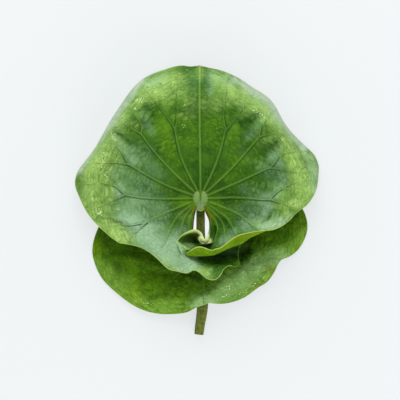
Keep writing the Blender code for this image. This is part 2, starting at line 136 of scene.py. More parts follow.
# Station, direction in degrees from the pad, and the height of the two lines that go round between
# the pad and the margin. The tip, at station 0, points along minus Y.
LOWER_STATIONS = [
    (-6, 45, 16, 14), (-5, 22, 18, 13), (-4, 0, 20.5, 14), (-3, -22, 22.5, 17.5), (-2, -45, 24, 17.5),
    (-1, -68, 24.5, 19), (0, -90, 23, 19.5), (1, -112, 24.5, 18.5), (2, -135, 24, 16.5),
    (3, -158, 22.5, 14), (4, -180, 20.5, 12.5), (5, -202, 18, 12.5), (6, -225, 16, 13),
]
LOWER_MARGIN = [
    # The right lobe, hidden under the upper blade, and the right side.
    (-6, 40, -12, 13), (-5.7, 52, -3, 11), (-5.35, 78, 2, 6), (-5, 99, -5, 3), (-4.75, 105.5, -17, 1.5),
    (-4.55, 107, -26, 1), (-4.4, 106.2, -33, 1.5), (-4.2, 102.3, -42.8, 2.5), (-4, 96.5, -51, 4),
    (-3.8, 88, -57.2, 6.5), (-3.6, 81, -60, 9), (-3.4, 76.8, -65.5, 10.5), (-3.2, 73.5, -72.5, 10),
    (-3, 68.7, -79.7, 9), (-2.5, 59, -87, 8.5), (-2, 49, -94.4, 8), (-1.5, 38, -100.4, 9),
    (-1, 22.5, -104.1, 12),
    # The tip, which lies over the stem.
    (-0.4, 8, -103.4, 15.8), (0, 3.5, -104.9, 16.2), (0.3, -5, -108, 14.5), (0.6, -12, -111.8, 12),
    # The left side and the left lobe.
    (1, -22, -114, 10), (1.5, -40, -114.5, 7.5), (2, -59.5, -110, 6), (2.5, -76, -100.5, 4.5),
    (3, -91, -88, 3), (3.4, -101, -76.4, 2), (3.7, -106.5, -64.5, 1.2), (4, -109.2, -52, 1),
    (4.3, -107.6, -40, 1.3), (4.6, -103.5, -28.5, 2), (5, -92, -12, 4), (5.4, -70, -4, 8),
    (5.75, -49, -5, 11), (6, -38, -12, 12),
]
LOWER_DEPTHS = (0.0, 0.4, 0.75, 1.0)

# X, Y, Z and radius along the middle of the stem, from the upper blade's pad to the cut end.
STEM = [
    (-0.5, 2, 28.7, 3.6), (-0.5, 1.7, 26, 4), (-0.5, -2.2, 22.4, 4.3), (-0.5, -9, 20.7, 4.3),
    (-0.4, -20, 19.6, 4.3), (-0.3, -35, 18, 4.4), (0.6, -50, 16.1, 4.7), (1.6, -70, 13.2, 5.1),
    (2.2, -88, 10.6, 5.4), (1.6, -105, 8.3, 5.5), (0.6, -116, 6.9, 5.2), (-0.9, -125.5, 5.8, 4.9),
    (-2.1, -135, 5, 4.6),
]

# Dark spots on the stem, in the form of the brushed zones below.
STEM_SPOTS = [
    (0.9, 1, [(0.5, -25)]), (0.7, 0.8, [(-1.6, -16)]), (0.7, 0.7, [(2, -31)]), (0.8, 0.7, [(0, -118)]),
]

# The stalk is finely fluted and a little lumpy, with depths as shares of its radius.
STEM_SIDES = 64
STEM_RINGS = 260
FLUTES = 9
FLUTE_DEPTH = 0.012
FLUTE_TWIST = 0.02
LUMP_DEPTH = 0.03
LUMP_SIZE = 3.5

# Air canals on the cut end: across, upward and radius, with a ring of small ones round them.
STEM_CANALS = [(-1.25, 0.9, 0.95), (1.25, 0.9, 0.95), (-0.95, -1.3, 0.7), (0.95, -1.3, 0.7)]
SMALL_CANALS = 9
SMALL_CANAL_RADIUS = 0.35
SMALL_CANAL_REACH = 3.1
CANAL_WALL = 0.2
CANAL_DEPTH = 2.0

# Each end of the stalk is closed by rings of these shares of its radius: one at the rim, then rows inward.
STEM_END_RIM = 0.985
STEM_END_FIRST_ROW = 0.96
STEM_END_ROWS = 30

# The warts: how many there are, how large and how flat, and the least and the most that one is scaled by.
WARTS_PER_SQUARE_METRE = 45000
WART_RADIUS = 0.36
WART_FLATNESS = 0.55
WART_SIZES = (0.6, 1.3)
WART_SEED = 4

# Ribs of the upper blade: station, and the depth at which the rib forks or fades.
UPPER_RIBS = {
    -8: 0.9, -7: 0.93, -6: 0.93, -5: 0.93, -4: 0.66, -3: 0.63, -2: 0.65, -1: 0.53, 0: 0.99,
    1: 0.53, 2: 0.66, 3: 0.62, 4: 0.62, 5: 0.6, 6: 0.8, 7: 0.85, 8: 0.85,
}

# Branches of the upper blade's ribs, as X and Y seen from above. Each starts on its rib.
UPPER_BRANCHES = [
    [(-26, 71), (-30, 77), (-38, 88), (-46.5, 99.5), (-54, 109), (-60, 117)],
    [(-26, 71), (-24.5, 78), (-24, 89), (-23.5, 98.5), (-22.5, 115), (-21.5, 131)],
    [(-60.5, 66), (-67, 70), (-76.5, 76), (-83, 80.5), (-89, 82)],
    [(-60.5, 66), (-59, 72), (-62.5, 80.5), (-68, 89), (-73, 100)],
    [(-69.5, 34.5), (-74.5, 39.5), (-78, 46), (-84, 53.5), (-90.5, 57.5), (-100, 58.5)],
    [(-69.5, 34.5), (-78, 36.5), (-86.5, 37.5), (-101, 37.5), (-115, 36.5)],
    [(-75.5, 5), (-80, 9.5), (-85, 13.5), (-91, 16), (-111, 16.5), (-123, 16)],
    [(-75.5, 5), (-83, 2), (-94, -3), (-106, -8), (-114, -10)],
    [(-54, -22), (-64, -24), (-78, -24.5), (-90, -20.5), (-99, -22)],
    [(-54, -22), (-61, -28), (-68, -35), (-74, -42)],
    [(25.5, 70.5), (23, 80), (23, 89), (23.5, 98.5), (25, 112), (26, 125)],
    [(25.5, 70.5), (31.5, 77), (37, 85.5), (43.5, 94), (49, 102), (54, 109)],
    [(58.5, 63), (59, 69.5), (61.5, 75), (65, 80), (70, 86.5), (75, 91)],
    [(58.5, 63), (65, 65), (71.5, 66.5), (78, 66.5), (90, 66)],
    [(69, 32), (73.5, 37.5), (79, 44), (89, 48), (99, 48.5), (107, 50)],
    [(69, 32), (77, 31), (90, 28.5), (104, 28), (116, 29)],
    [(68.5, 0.5), (76, 8), (86, 14), (98, 19), (114, 20)], [(68.5, 0.5), (80, -3), (92, -6.5), (102, -7.5)],
]
UPPER_MIDRIB_TWIGS = [
    [(-1, 71), (3, 74.5), (7, 78.5)], [(-1, 53), (5, 57), (12, 63)], [(-1.5, 60), (-6, 67), (-11, 78)],
]
# How red-brown the margin is at some stations. Elsewhere it is pale green.
UPPER_RIM_RED = [
    (-10.2, 0.2), (-5, 0.1), (-4.3, 0.15), (-3.6, 0.35), (-2.5, 0.8), (-1, 0.6), (-0.1, 1), (0.1, 1),
    (1, 0.5), (2.5, 0.8), (3.3, 0.6), (3.9, 0.3), (4.6, 0.05), (9.3, 0.05),
]
# How strongly the margin's own colour shows at some stations.
UPPER_RIM_STRENGTH = [
    (-10.2, 1), (-9.2, 1), (-9, 0.8), (-8.75, 0.6), (-8.6, 1), (8.5, 1), (8.8, 0.35), (9.3, 0.3),
]
LOWER_RIM_RED = [(-6, 0.1), (-4.5, 0.3), (-3, 0.8), (-1, 0.3), (1, 0.2), (4, 0.4), (6, 0.2)]

# Of each kind of vein, at its start and at its end: half width, height of its ridge, depth of the trough
# beside it, height on the underside, and how pale it is and how much shade is painted beside it.
MIDRIB_FORM = ((0.9, 0.8, 0.5, 1.7, 0.95, 0.6), (0.8, 0.55, 0.3, 0.9, 0.85, 0.65))
RIB_FORM = ((0.9, 0.8, 0.5, 1.7, 0.95, 0.6), (0.7, 0.45, 0.65, 0.9, 0.3, 1.1))
LOW_RIB_FORM = ((0.9, 0.8, 0.3, 1.7, 0.95, 0.35), (0.55, 0.35, 0.3, 0.6, 0.45, 0.35))
BRANCH_FORM = ((0.7, 0.35, 0.65, 0.7, 0.25, 1.35), (0.45, 0.1, 0.2, 0.2, 0.15, 0.4))
TWIG_FORM = ((0.45, 0.05, 0.3, 0.3, 0.0, 0.6), (0.35, 0.0, 0.1, 0.1, 0.0, 0.2))
LOWER_RIB_FORM = ((0.8, 0.4, 0.5, 1.7, 0.35, 0.7), (0.5, 0.15, 0.35, 0.9, 0.12, 0.6))

# Widths and places across a vein, as multiples of its half width.
TROUGH_WIDTH = 2.1
UNDERSIDE_WIDTH = 1.5
PALE_WIDTH = 0.85
RIB_SHADE_WIDTH = 0.75
RIB_SHADE_PLACE = 1.7
RIDGE_IN_TROUGH = 0.6
INNER_SIDE_SHARE = 0.4

# Points along the veins, and the step between them on a branch.
UPPER_RIB_POINTS = 320
LOWER_RIB_POINTS = 260
LOWER_BRANCH_POINTS = 160
PATH_STEP = 0.4

# Where the lower blade's ribs fork, as depths, and how far in stations the branches spread.
LOWER_MIDRIB_END = 0.97
LOWER_FORK = 0.58
LOWER_FORK_STAGGER = 0.05
LOWER_BRANCH_END = 0.96
LOWER_BRANCH_SPREAD = 0.3
LOWER_BRANCH_CURVE = 0.8

# Twigs leave a branch at these shares of its length. They set out forward and bend to the side. Where the
# branch heads is read this many points on. A twig with too few points on the blade, or one that would hang
# down from it, is left out.
TWIG_STARTS = (0.35, 0.6, 0.82)
TWIG_LENGTH = 18
TWIG_POINTS = 30
TWIG_SPREAD = 0.55
TWIG_BEND = 9
TWIG_AIM = 5
FEWEST_TWIG_POINTS = 5
LOWEST_TWIG = -10

# Heights that are far above and far below the leaf.
FAR_ABOVE = 200.0
FAR_BELOW = -500.0

# The rolled rim is the part of the upper blade past this station and depth, and what is inside the second
# depth lies under it. The little cup at the right lobe's end is past its own station and depth. The right
# lobe, the left lobe and the knot at the right lobe's corner start at these stations.
RIM_STATION = -4.9
RIM_DEPTH = 0.86
BELOW_RIM_DEPTH = 0.7
CUP_STATION = -8.55
CUP_DEPTH = 0.66
RIGHT_LOBE_STATION = -5.2
LEFT_LOBE_STATION = 5.6
KNOT_STATION = -8.9
KNOT_DEPTH = 0.5

# The slit's left edge runs straighter than the curves through the few given points: by how much, past which
# station, and how far from the pad it is shifted most.
SLIT_EDGE_SHIFT = 2.2
SLIT_EDGE_STATION = 8.3
SLIT_EDGE_RUN = 22
SLIT_EDGE_REACH = 8

# The tip of the upper blade, at station 0, ends in a small point.
TIP_BULGE = 1.1
TIP_WIDTH = 0.035

# The blades are thinner than the solids, and their margins bulge a little. The lip is the pad's own edge,
# between the two edges of the slit.
BLADE_THICKNESS = 0.55
MARGIN_BULGE = 0.3
LIP_BULGE = 0.6
LIP_RISE = 0.2
LIP_MARKS = {"lip": 1.0}

# Mesh rows from the pad to the margin, as (last depth, number of rows to it, and every how many columns
# count there). The pad levels out towards its middle with the power PAD_CROWN.
UPPER_ROWS = ((0.12, 8, 4), (0.36, 26, 2), (0.98, 88, 1), (1.0, 4, 1))
UPPER_COLUMNS = 641
LOWER_ROWS = ((0.15, 6, 4), (0.4, 12, 2), (0.98, 42, 1), (1.0, 4, 1))
LOWER_COLUMNS = 481
EDGE_ROWS = 4
PAD_ROWS = 12
PAD_CROWN = 2.5
LIP_STEPS = 12
LIP_PATH_STEP = 0.05

# Columns are closer together beside a rib: by how much, how near to it, and at which depths it is measured.
CROWDING = 0.9
CROWD_WIDTH = 2.5
CROWD_DEPTHS = (0.65, 0.85, 1.0)
TRIAL_STATIONS = 6001

# The ribs run on over the pad's edge as rays, this wide and up to this angle beside them, in radians.
RAY_WIDTH = 0.7
WIDEST_RAY = 1.5

# The two materials of a blade, by their number on the mesh.
FACE = 0
UNDERSIDE = 1

# What is painted on the blades and the stem, as a strength at every point of the mesh: 0 is none, and 1 or
# more is full. Some are painted light and shade: the shade beside the ribs, in the creases and in hollows,
# the sheen, and part of the light, bloom and deep marks.
MARKS = (
    "pale", "dark", "crease_shade", "light", "bloom_and_reflection", "sheen", "fresh", "deep", "painted_shade", "brown", "speck",
    "amber", "rim", "red", "slit", "cream", "pad", "stub", "lip",
)

# How wide a brushed stroke is at its ends as a share of its width in the middle, the power with which it
# fades at its edge, and the half width from which on its edge wanders in full.
STROKE_END_WIDTH = 0.65
STROKE_FALL = 2.2
FULL_WANDER_WIDTH = 8

# Wrinkles fade out within these distances of the margin, the pad, the slit and a vein. A crease's width is
# a share of the net's cells.
CALM_MARGIN = 5
CALM_PAD = 12
CALM_SLIT = 4
CALM_VEIN = 2.5
CREASE_WIDTH = 0.34

# The camera looks straight down at the middle of the view, from far away, as through a long lens.
VIEW_CENTRE = (-1.0, 0.0)
VIEW_WIDTH = 400.0
VIEW_PLANE_HEIGHT = 35.0
CAMERA_DISTANCE = 6000.0
SENSOR_WIDTH = 36.0
CAMERA_CLIP_END = 20.0


# Curves and sheets

def fading(away, reach):
    """1 where there is no distance, 0.37 at the reach and next to nothing at twice the reach."""
    return np.exp(-((away / reach) ** 2))


def bell(away, width):
    """A bell curve: 1 on its line and 0.61 at the width."""
    return np.exp(-0.5 * (away / width) ** 2)


def read_off(table, places):
    """Values at the places, on straight lines between the rows of a table of place and value."""
    return np.interp(places, *zip(*table))


def spline_weights(knots, places):
    """The matrix that turns values at the knots into values of a natural cubic spline at the places."""
    knots = np.asarray(knots, float)
    places = np.asarray(places, float)
    count = len(knots)
    gaps = np.diff(knots)
    bend = np.eye(count)
    slope_change = np.zeros((count, count))
    for k in range(1, count - 1):
        bend[k, k - 1 : k + 2] = gaps[k - 1], 2 * (gaps[k - 1] + gaps[k]), gaps[k]
        slope_change[k, k - 1 : k + 2] = 6 / gaps[k - 1], -6 / gaps[k - 1] - 6 / gaps[k], 6 / gaps[k]
    curvature = np.linalg.solve(bend, slope_change)
    left = np.clip(np.searchsorted(knots, places, side="right") - 1, 0, count - 2)
    gap = gaps[left]
    after = (places - knots[left]) / gap
    before = 1 - after
    rows = np.arange(len(places))
    weights = np.zeros((len(places), count))
    weights[rows, left] += before
    weights[rows, left + 1] += after
    weights += ((before**3 - before) * gap**2 / 6)[:, None] * curvature[left]
    weights += ((after**3 - after) * gap**2 / 6)[:, None] * curvature[left + 1]
    return weights


def line_around(table, stations):
    """Points at the stations on a line given as rows of station, X, Y and Z."""
    table = np.array(table, float)
    return spline_weights(table[:, 0], stations) @ table[:, 1:]


def pad_edge(starts, centre, radii, height, stations):
    """Points at the stations on a pad's oval edge."""
    starts = np.array(starts, float)
    turn = np.radians(np.interp(stations, starts[:, 0], starts[:, 1]))
    x = centre[0] + radii[0] * np.cos(turn)
    y = centre[1] + radii[1] * np.sin(turn)
    return np.stack([x, y, np.full_like(x, height)], axis=1)


def upper_sheet(depths, stations):
    """Points of the upper blade, one row for each depth and one column for each station."""
    lines = [pad_edge(UPPER_START, UPPER_PAD_CENTRE, UPPER_PAD_RADII, UPPER_PAD_EDGE_HEIGHT, stations)]
    for table in (UPPER_WALL, UPPER_SHOULDER, UPPER_SLOPE, UPPER_MARGIN):
        lines.append(line_around(table, stations))
    sheet = np.tensordot(spline_weights(UPPER_DEPTHS, depths), np.array(lines), axes=1)
    sheet[:, :, 2] -= np.outer(pleat_strength(depths), pleat_sink(stations))
    return sheet


def pleat_strength(depths):
    """How much of a pleat's sink there is at each depth."""
    off = np.clip(np.abs(np.asarray(depths) - PLEAT_DEEPEST_AT) / PLEAT_REACH, 0, 1)
    return np.cos(off * math.pi / 2) ** 2


def pleat_sink(stations):
    """How far the upper blade sinks at each station, where its pleats are deepest."""
    sink = np.zeros(len(stations))
    for middle, deepest in UPPER_PLEATS.items():
        beside = np.clip(np.abs(stations - middle) / PLEAT_HALF_WIDTH, 0, 1)
        sink += deepest * np.cos(beside * math.pi / 2) ** 2
    return sink


def lower_sheet(depths, stations):
    """Points of the lower blade, one row for each depth and one column for each station."""
    table = np.array(LOWER_STATIONS, float)
    edge = pad_edge(LOWER_STATIONS, LOWER_PAD_CENTRE, LOWER_PAD_RADII, LOWER_PAD_EDGE_HEIGHT, stations)
    margin = line_around(LOWER_MARGIN, stations)
    lines = [edge]
    for share, column in ((LOWER_DEPTHS[1], 2), (LOWER_DEPTHS[2], 3)):
        line = edge + share * (margin - edge)
        line[:, 2] = spline_weights(table[:, 0], stations) @ table[:, column]
        lines.append(line)
    lines.append(margin)
    return np.tensordot(spline_weights(LOWER_DEPTHS, depths), np.array(lines), axes=1)


def smooth_path(points, step):
    """Points about a step apart on a smooth curve through the given ones."""
    points = np.array(points, float)
    length = np.concatenate([[0], np.cumsum(np.linalg.norm(np.diff(points, axis=0), axis=1))])
    places = np.linspace(0, length[-1], max(2, int(length[-1] / step) + 1))
    return spline_weights(length, places) @ points


def spread_stations(sheet_of, first, last, count):
    """Stations that are evenly far apart on the blade, and closer together beside its ribs."""
    trial = np.linspace(first, last, TRIAL_STATIONS)
    rings = sheet_of(CROWD_DEPTHS, trial)
    steps = np.linalg.norm(np.diff(rings, axis=1), axis=2)
    middle = (trial[1:] + trial[:-1]) / 2
    beside_rib = np.abs(middle - np.round(middle)) / np.abs(np.diff(trial)) * steps[0]
    weight = steps.mean(axis=0) * (1 + CROWDING * fading(beside_rib, CROWD_WIDTH))
    length = np.concatenate([[0], np.cumsum(weight)])
    return np.interp(np.linspace(0, length[-1], count), length, trial)


def mesh_rows(sections):
    """The depth of each mesh row, and every how many columns count there."""
    depths = [0.0]
    strides = [sections[0][2]]
    for last, count, stride in sections:
        first = depths[-1]
        depths += [first + (last - first) * (k + 1) / count for k in range(count)]
        strides += [stride] * count
        strides[-count - 1] = max(strides[-count - 1], stride)
    return np.array(depths), strides


def sheet_normals(sheet):
    normals = np.cross(np.gradient(sheet, axis=0), np.gradient(sheet, axis=1))
    return normals / np.maximum(np.linalg.norm(normals, axis=2, keepdims=True), 1e-9)


def distance_from(sheet, axis, end):
    """How far each point is along its row or column from the first (0) or last (-1) one."""
    steps = np.linalg.norm(np.diff(sheet, axis=axis), axis=2)
    if end == -1:
        steps = np.flip(steps, axis)
    start = np.zeros_like(np.take(steps, [0], axis=axis))
    away = np.concatenate([start, np.cumsum(steps, axis=axis)], axis=axis)
    return np.flip(away, axis) if end == -1 else away


# Veins

class Veins:
    """Points along a blade's veins, each with its direction and form."""

    def __init__(self):
        self.points = []
        self.headings = []
        self.forms = []

    def add(self, path, form):
        share = np.linspace(0, 1, len(path))[:, None]
        heading = np.gradient(path, axis=0)
        self.points.append(path)
        self.headings.append(heading / np.maximum(np.linalg.norm(heading, axis=1, keepdims=True), 1e-9))
        self.forms.append((1 - share) * np.array(form[0]) + share * np.array(form[1]))

    def trace(self, sheet):
        """For each point of a sheet: the rise of the face and of the underside, the marks pale and dark, of
        which dark is shade painted beside the vein, and the distance to the nearest vein."""
        points = np.concatenate(self.points)
        headings = np.concatenate(self.headings)
        tree = KDTree(len(points))
        for k, point in enumerate(points):
            tree.insert(point, k)
        tree.balance()
        flat = sheet.reshape(-1, 3)
        nearest = np.array([tree.find(point)[1] for point in flat])
        off = flat - points[nearest]
        along = (off * headings[nearest]).sum(axis=1, keepdims=True)
        past_end = np.abs(along[:, 0]) > 1.0
        away = np.linalg.norm(off - np.where(past_end[:, None], 0, along * headings[nearest]), axis=1)
        width, ridge, trough, under, pale, dark = np.concatenate(self.forms)[nearest].T

        # The side that looks away from the midrib is the steeper one, and more shade is painted on it.
        heading = headings[nearest]
        turn = heading[:, 0] * off[:, 1] - heading[:, 1] * off[:, 0]
        outer = np.where(turn * -flat[:, 0] > 0, 1.0, INNER_SIDE_SHARE)
        crest = bell(away, width)
        face = ridge * crest - outer * trough * (bell(away, TROUGH_WIDTH * width) - RIDGE_IN_TROUGH * crest)
        underside = under * bell(away, UNDERSIDE_WIDTH * width)
        pale_mark = pale * bell(away, PALE_WIDTH * width)
        rib_shade_mark = dark * outer * bell(away - RIB_SHADE_PLACE * width, RIB_SHADE_WIDTH * width)
        results = face, underside, pale_mark, rib_shade_mark, away
        return [values.reshape(sheet.shape[:2]) for values in results]


def tree_of(sheet):
    """A search tree of the sheet's faces, to find the point under a given X and Y."""
    rows, columns = sheet.shape[:2]
    ids = np.arange(rows * columns).reshape(rows, columns)
    faces = np.stack([ids[:-1, :-1], ids[1:, :-1], ids[1:, 1:], ids[:-1, 1:]], axis=-1).reshape(-1, 4)
    return BVHTree.FromPolygons(sheet.reshape(-1, 3).tolist(), faces.tolist())


def dropped(path, tree):
    """The points of the sheet straight under a path, as far as there are any."""
    found = []
    for x, y in path:
        hit = tree.ray_cast(Vector((x, y, FAR_ABOVE)), Vector((0, 0, -1)))[0]
        if hit is None:
            break
        found.append(tuple(hit))
    return np.array(found)


def twigs_of(path):
    """Finer veins that leave a branch to both sides in turn, as X and Y."""
    twigs = []
    for k, share in enumerate(TWIG_STARTS):
        at = int(share * (len(path) - 1))
        heading = path[min(at + TWIG_AIM, len(path) - 1)] - path[at]
        heading = heading / np.linalg.norm(heading)
        sideways = np.array([-heading[1], heading[0]]) * (TWIG_SPREAD if k % 2 else -TWIG_SPREAD)
        reach = np.linspace(0, TWIG_LENGTH, TWIG_POINTS)[:, None]
        twigs.append(path[at] + reach * heading + sideways * TWIG_LENGTH * (1 - np.exp(-reach / TWIG_BEND)))
    return twigs


def rib_form(station):
    """The form of the upper blade's rib at a station. The ribs of the two lobes are the low ones."""
    if station == 0:
        return MIDRIB_FORM
    return RIB_FORM if abs(station) < 5 else LOW_RIB_FORM


def upper_veins(sheet, stations, depths):
    """The upper blade's ribs, their branches and the twigs of those."""
    veins = Veins()
    for station, last_depth in UPPER_RIBS.items():
        along = np.linspace(0.0, last_depth, UPPER_RIB_POINTS)
        veins.add(upper_sheet(along, np.array([float(station)]))[:, 0], rib_form(station))
    not_rim = (stations > RIM_STATION)[None, :] | (depths < BELOW_RIM_DEPTH)[:, None]
    visible = sheet.copy()
    visible[~not_rim] = (0.0, 0.0, FAR_BELOW)
    tree = tree_of(visible[::2, ::2])
    for branch in UPPER_BRANCHES:
        path = smooth_path(branch, PATH_STEP)
        veins.add(dropped(path, tree), BRANCH_FORM)
        for twig in twigs_of(path):
            found = dropped(twig, tree)
            if len(found) > FEWEST_TWIG_POINTS and found[:, 2].min() > LOWEST_TWIG:
                veins.add(found, TWIG_FORM)
    for twig in UPPER_MIDRIB_TWIGS:
        veins.add(dropped(smooth_path(twig, PATH_STEP), tree), TWIG_FORM)
    return veins


def lower_veins():
    """The lower blade's ribs and their branches, which fork at about two thirds of the way."""
    veins = Veins()
    for station in range(-5, 6):
        last_depth = LOWER_FORK + LOWER_FORK_STAGGER * (station % 2)
        if station == 0:
            last_depth = LOWER_MIDRIB_END
        along = np.linspace(0.0, last_depth, LOWER_RIB_POINTS)
        veins.add(lower_sheet(along, np.array([float(station)]))[:, 0], LOWER_RIB_FORM)
        if station == 0:
            continue
        for side in (-1, 1):
            depths = np.linspace(last_depth, LOWER_BRANCH_END, LOWER_BRANCH_POINTS)
            share = (depths - last_depth) / (LOWER_BRANCH_END - last_depth)
            branch = station + side * LOWER_BRANCH_SPREAD * share**LOWER_BRANCH_CURVE
            path = np.array([lower_sheet([d], np.array([s]))[0, 0] for d, s in zip(depths, branch)])
            veins.add(path, TWIG_FORM)
    return veins


# Small relief and soft marks

def quilt(places, seed):
    """How far each place is from the lines of a net, as a share of the net's cells."""
    away = []
    for x, y in places.reshape(-1, 2):
        distances = noise.voronoi((x, y, seed))[0]
        away.append(distances[1] - distances[0])
    return np.array(away).reshape(places.shape[:2])


def sway(points, size, seed):
    """Slow waves in space, from about -1 to 1."""
    values = [noise.noise((x / size + seed, y / size, z / size)) for x, y, z in points.reshape(-1, 3)]
    return np.array(values).reshape(points.shape[:2])


def brushed(sheet, strokes, wander=0.0):
    """The strength of soft strokes, each given by half width, strength and the points that it runs through.

    A stroke is narrower towards its ends, and its edge wanders in and out by the given millimetres.
    Strokes add up, and one of negative strength takes away.
    """
    total = np.zeros(sheet.shape[:2])
    places = sheet[:, :, :2]
    for half_width, strength, points in strokes:
        points = np.array(points, float)
        steps = np.diff(np.vstack([points, points[-1:]]), axis=0)
        lengths = np.linalg.norm(steps, axis=1)
        whole = lengths.sum()
        away = np.full(total.shape, 1e9)
        for start, step, length, passed in zip(points, steps, lengths, np.cumsum(lengths) - lengths):
            share = np.clip(((places - start) @ step) / max(length**2, 1e-9), 0, 1)
            width = np.full(total.shape, float(half_width))
            if whole > 0:
                fullness = np.sin(math.pi * (passed + share * length) / whole)
                width *= STROKE_END_WIDTH + (1 - STROKE_END_WIDTH) * fullness
            gap = np.linalg.norm(places - start - share[:, :, None] * step, axis=2)
            away = np.minimum(away, (gap + wander * min(1.0, half_width / FULL_WANDER_WIDTH)) / width)
        total += strength * np.exp(-(np.maximum(away, 0) ** STROKE_FALL))
    return total


def brushed_marks(sheet, table, wander=0.0):
    """Each zone of the table as a mark from 0 to 1."""
    return {name: np.clip(brushed(sheet, strokes, wander), 0, 1) for name, strokes in table.items()}


def edge_wander(sheet, seed):
    """How far the edges of the brushed zones wander in and out."""
    return 2.6 * sway(sheet, 15.0, seed) + 1.3 * sway(sheet, 6.0, seed + 5)


# Building a piece

class Skin:
    """The points, faces and marks of one closed piece, gathered part by part."""

    def __init__(self):
        self.points = []
        self.along = []
        self.marks = {name: [] for name in MARKS}
        self.faces = []
        self.looks = []
        self.count = 0

    def add_points(self, points, along, marks):
        """Adds points with their station and run, and gives back their numbers."""
        points = np.asarray(points, float)
        shape = points.shape[:-1]
        flat = points.reshape(-1, 3)
        self.points.append(flat)
        self.along.append(np.asarray(along, float).reshape(-1, 2))
        for name in MARKS:
            values = np.broadcast_to(np.asarray(marks.get(name, 0.0), float), shape)
            self.marks[name].append(values.reshape(-1))
        ids = np.arange(self.count, self.count + len(flat)).reshape(shape)
        self.count += len(flat)
        return ids

    def strip(self, inner, outer, look, flipped=False, closed=False):
        """Faces between two lines of points, of which one may have twice as many steps as the other."""
        if closed:
            inner = np.append(inner, inner[0])
            outer = np.append(outer, outer[0])
        faces = []
        if len(inner) == len(outer):
            for k in range(len(inner) - 1):
                faces.append((inner[k], outer[k], outer[k + 1], inner[k + 1]))
        elif len(outer) > len(inner):
            for k in range(len(inner) - 1):
                faces.append((inner[k], outer[2 * k], outer[2 * k + 1]))
                faces.append((inner[k], outer[2 * k + 1], inner[k + 1]))
                faces.append((inner[k + 1], outer[2 * k + 1], outer[2 * k + 2]))
        else:
            for k in range(len(outer) - 1):
                faces.append((inner[2 * k], outer[k], inner[2 * k + 1]))
                faces.append((inner[2 * k + 1], outer[k], outer[k + 1]))
                faces.append((inner[2 * k + 1], outer[k + 1], inner[2 * k + 2]))
        for face in faces:
            self.faces.append(tuple(int(v) for v in (reversed(face) if flipped else face)))
            self.looks.append(look)

    def fan(self, pole, ring, look, flipped=False):
        """Faces from a ring of points to one point in its middle."""
        for k in range(len(ring)):
            face = (int(pole), int(ring[k]), int(ring[(k + 1) % len(ring)]))
            self.faces.append(face[::-1] if flipped else face)
            self.looks.append(look)

    def to_object(self, name, materials):
        """The piece in the scene, without the points that no face uses."""
        points = (np.concatenate(self.points) + np.array(PLACE)) * MM
        along = np.concatenate(self.along)
        used = np.zeros(len(points), bool)
        used[np.concatenate([np.array(face) for face in self.faces])] = True
        new_id = np.cumsum(used) - 1
        faces = [[int(new_id[v]) for v in face] for face in self.faces]
        mesh = bpy.data.meshes.new(name)
        mesh.from_pydata(points[used].tolist(), [], faces)
        for material in materials:
            mesh.materials.append(material)
        mesh.polygons.foreach_set("material_index", self.looks)
        for mark in MARKS:
            layer = mesh.attributes.new(mark, "FLOAT", "POINT")
            layer.data.foreach_set("value", np.concatenate(self.marks[mark])[used].astype(np.float32))
        corners = np.empty(len(mesh.loops), np.int32)
        mesh.loops.foreach_get("vertex_index", corners)
        layer = mesh.uv_layers.new(name="along")
        layer.data.foreach_set("uv", along[used][corners].astype(np.float32).ravel())
        mesh.shade_smooth()
        mesh.update()
        obj = bpy.data.objects.new(name, mesh)
        bpy.context.scene.collection.objects.link(obj)
        return obj


def headings_round(ring):
    """The direction in which a closed line of points runs at each of them."""
    heading = np.roll(ring, -1, axis=0) - np.roll(ring, 1, axis=0)
    return heading / np.maximum(np.linalg.norm(heading, axis=1, keepdims=True), 1e-9)


def lowest_around(values):
    """The lowest value among each point and its neighbours."""
    lowest = values.copy()
    for axis in (0, 1):
        padded = np.concatenate([np.take(lowest, [0], axis), lowest, np.take(lowest, [-1], axis)], axis)
        count = lowest.shape[axis]
        parts = [np.take(padded, np.arange(count) + shift, axis) for shift in range(3)]
        lowest = np.minimum(np.minimum(parts[0], parts[1]), parts[2])
    return lowest


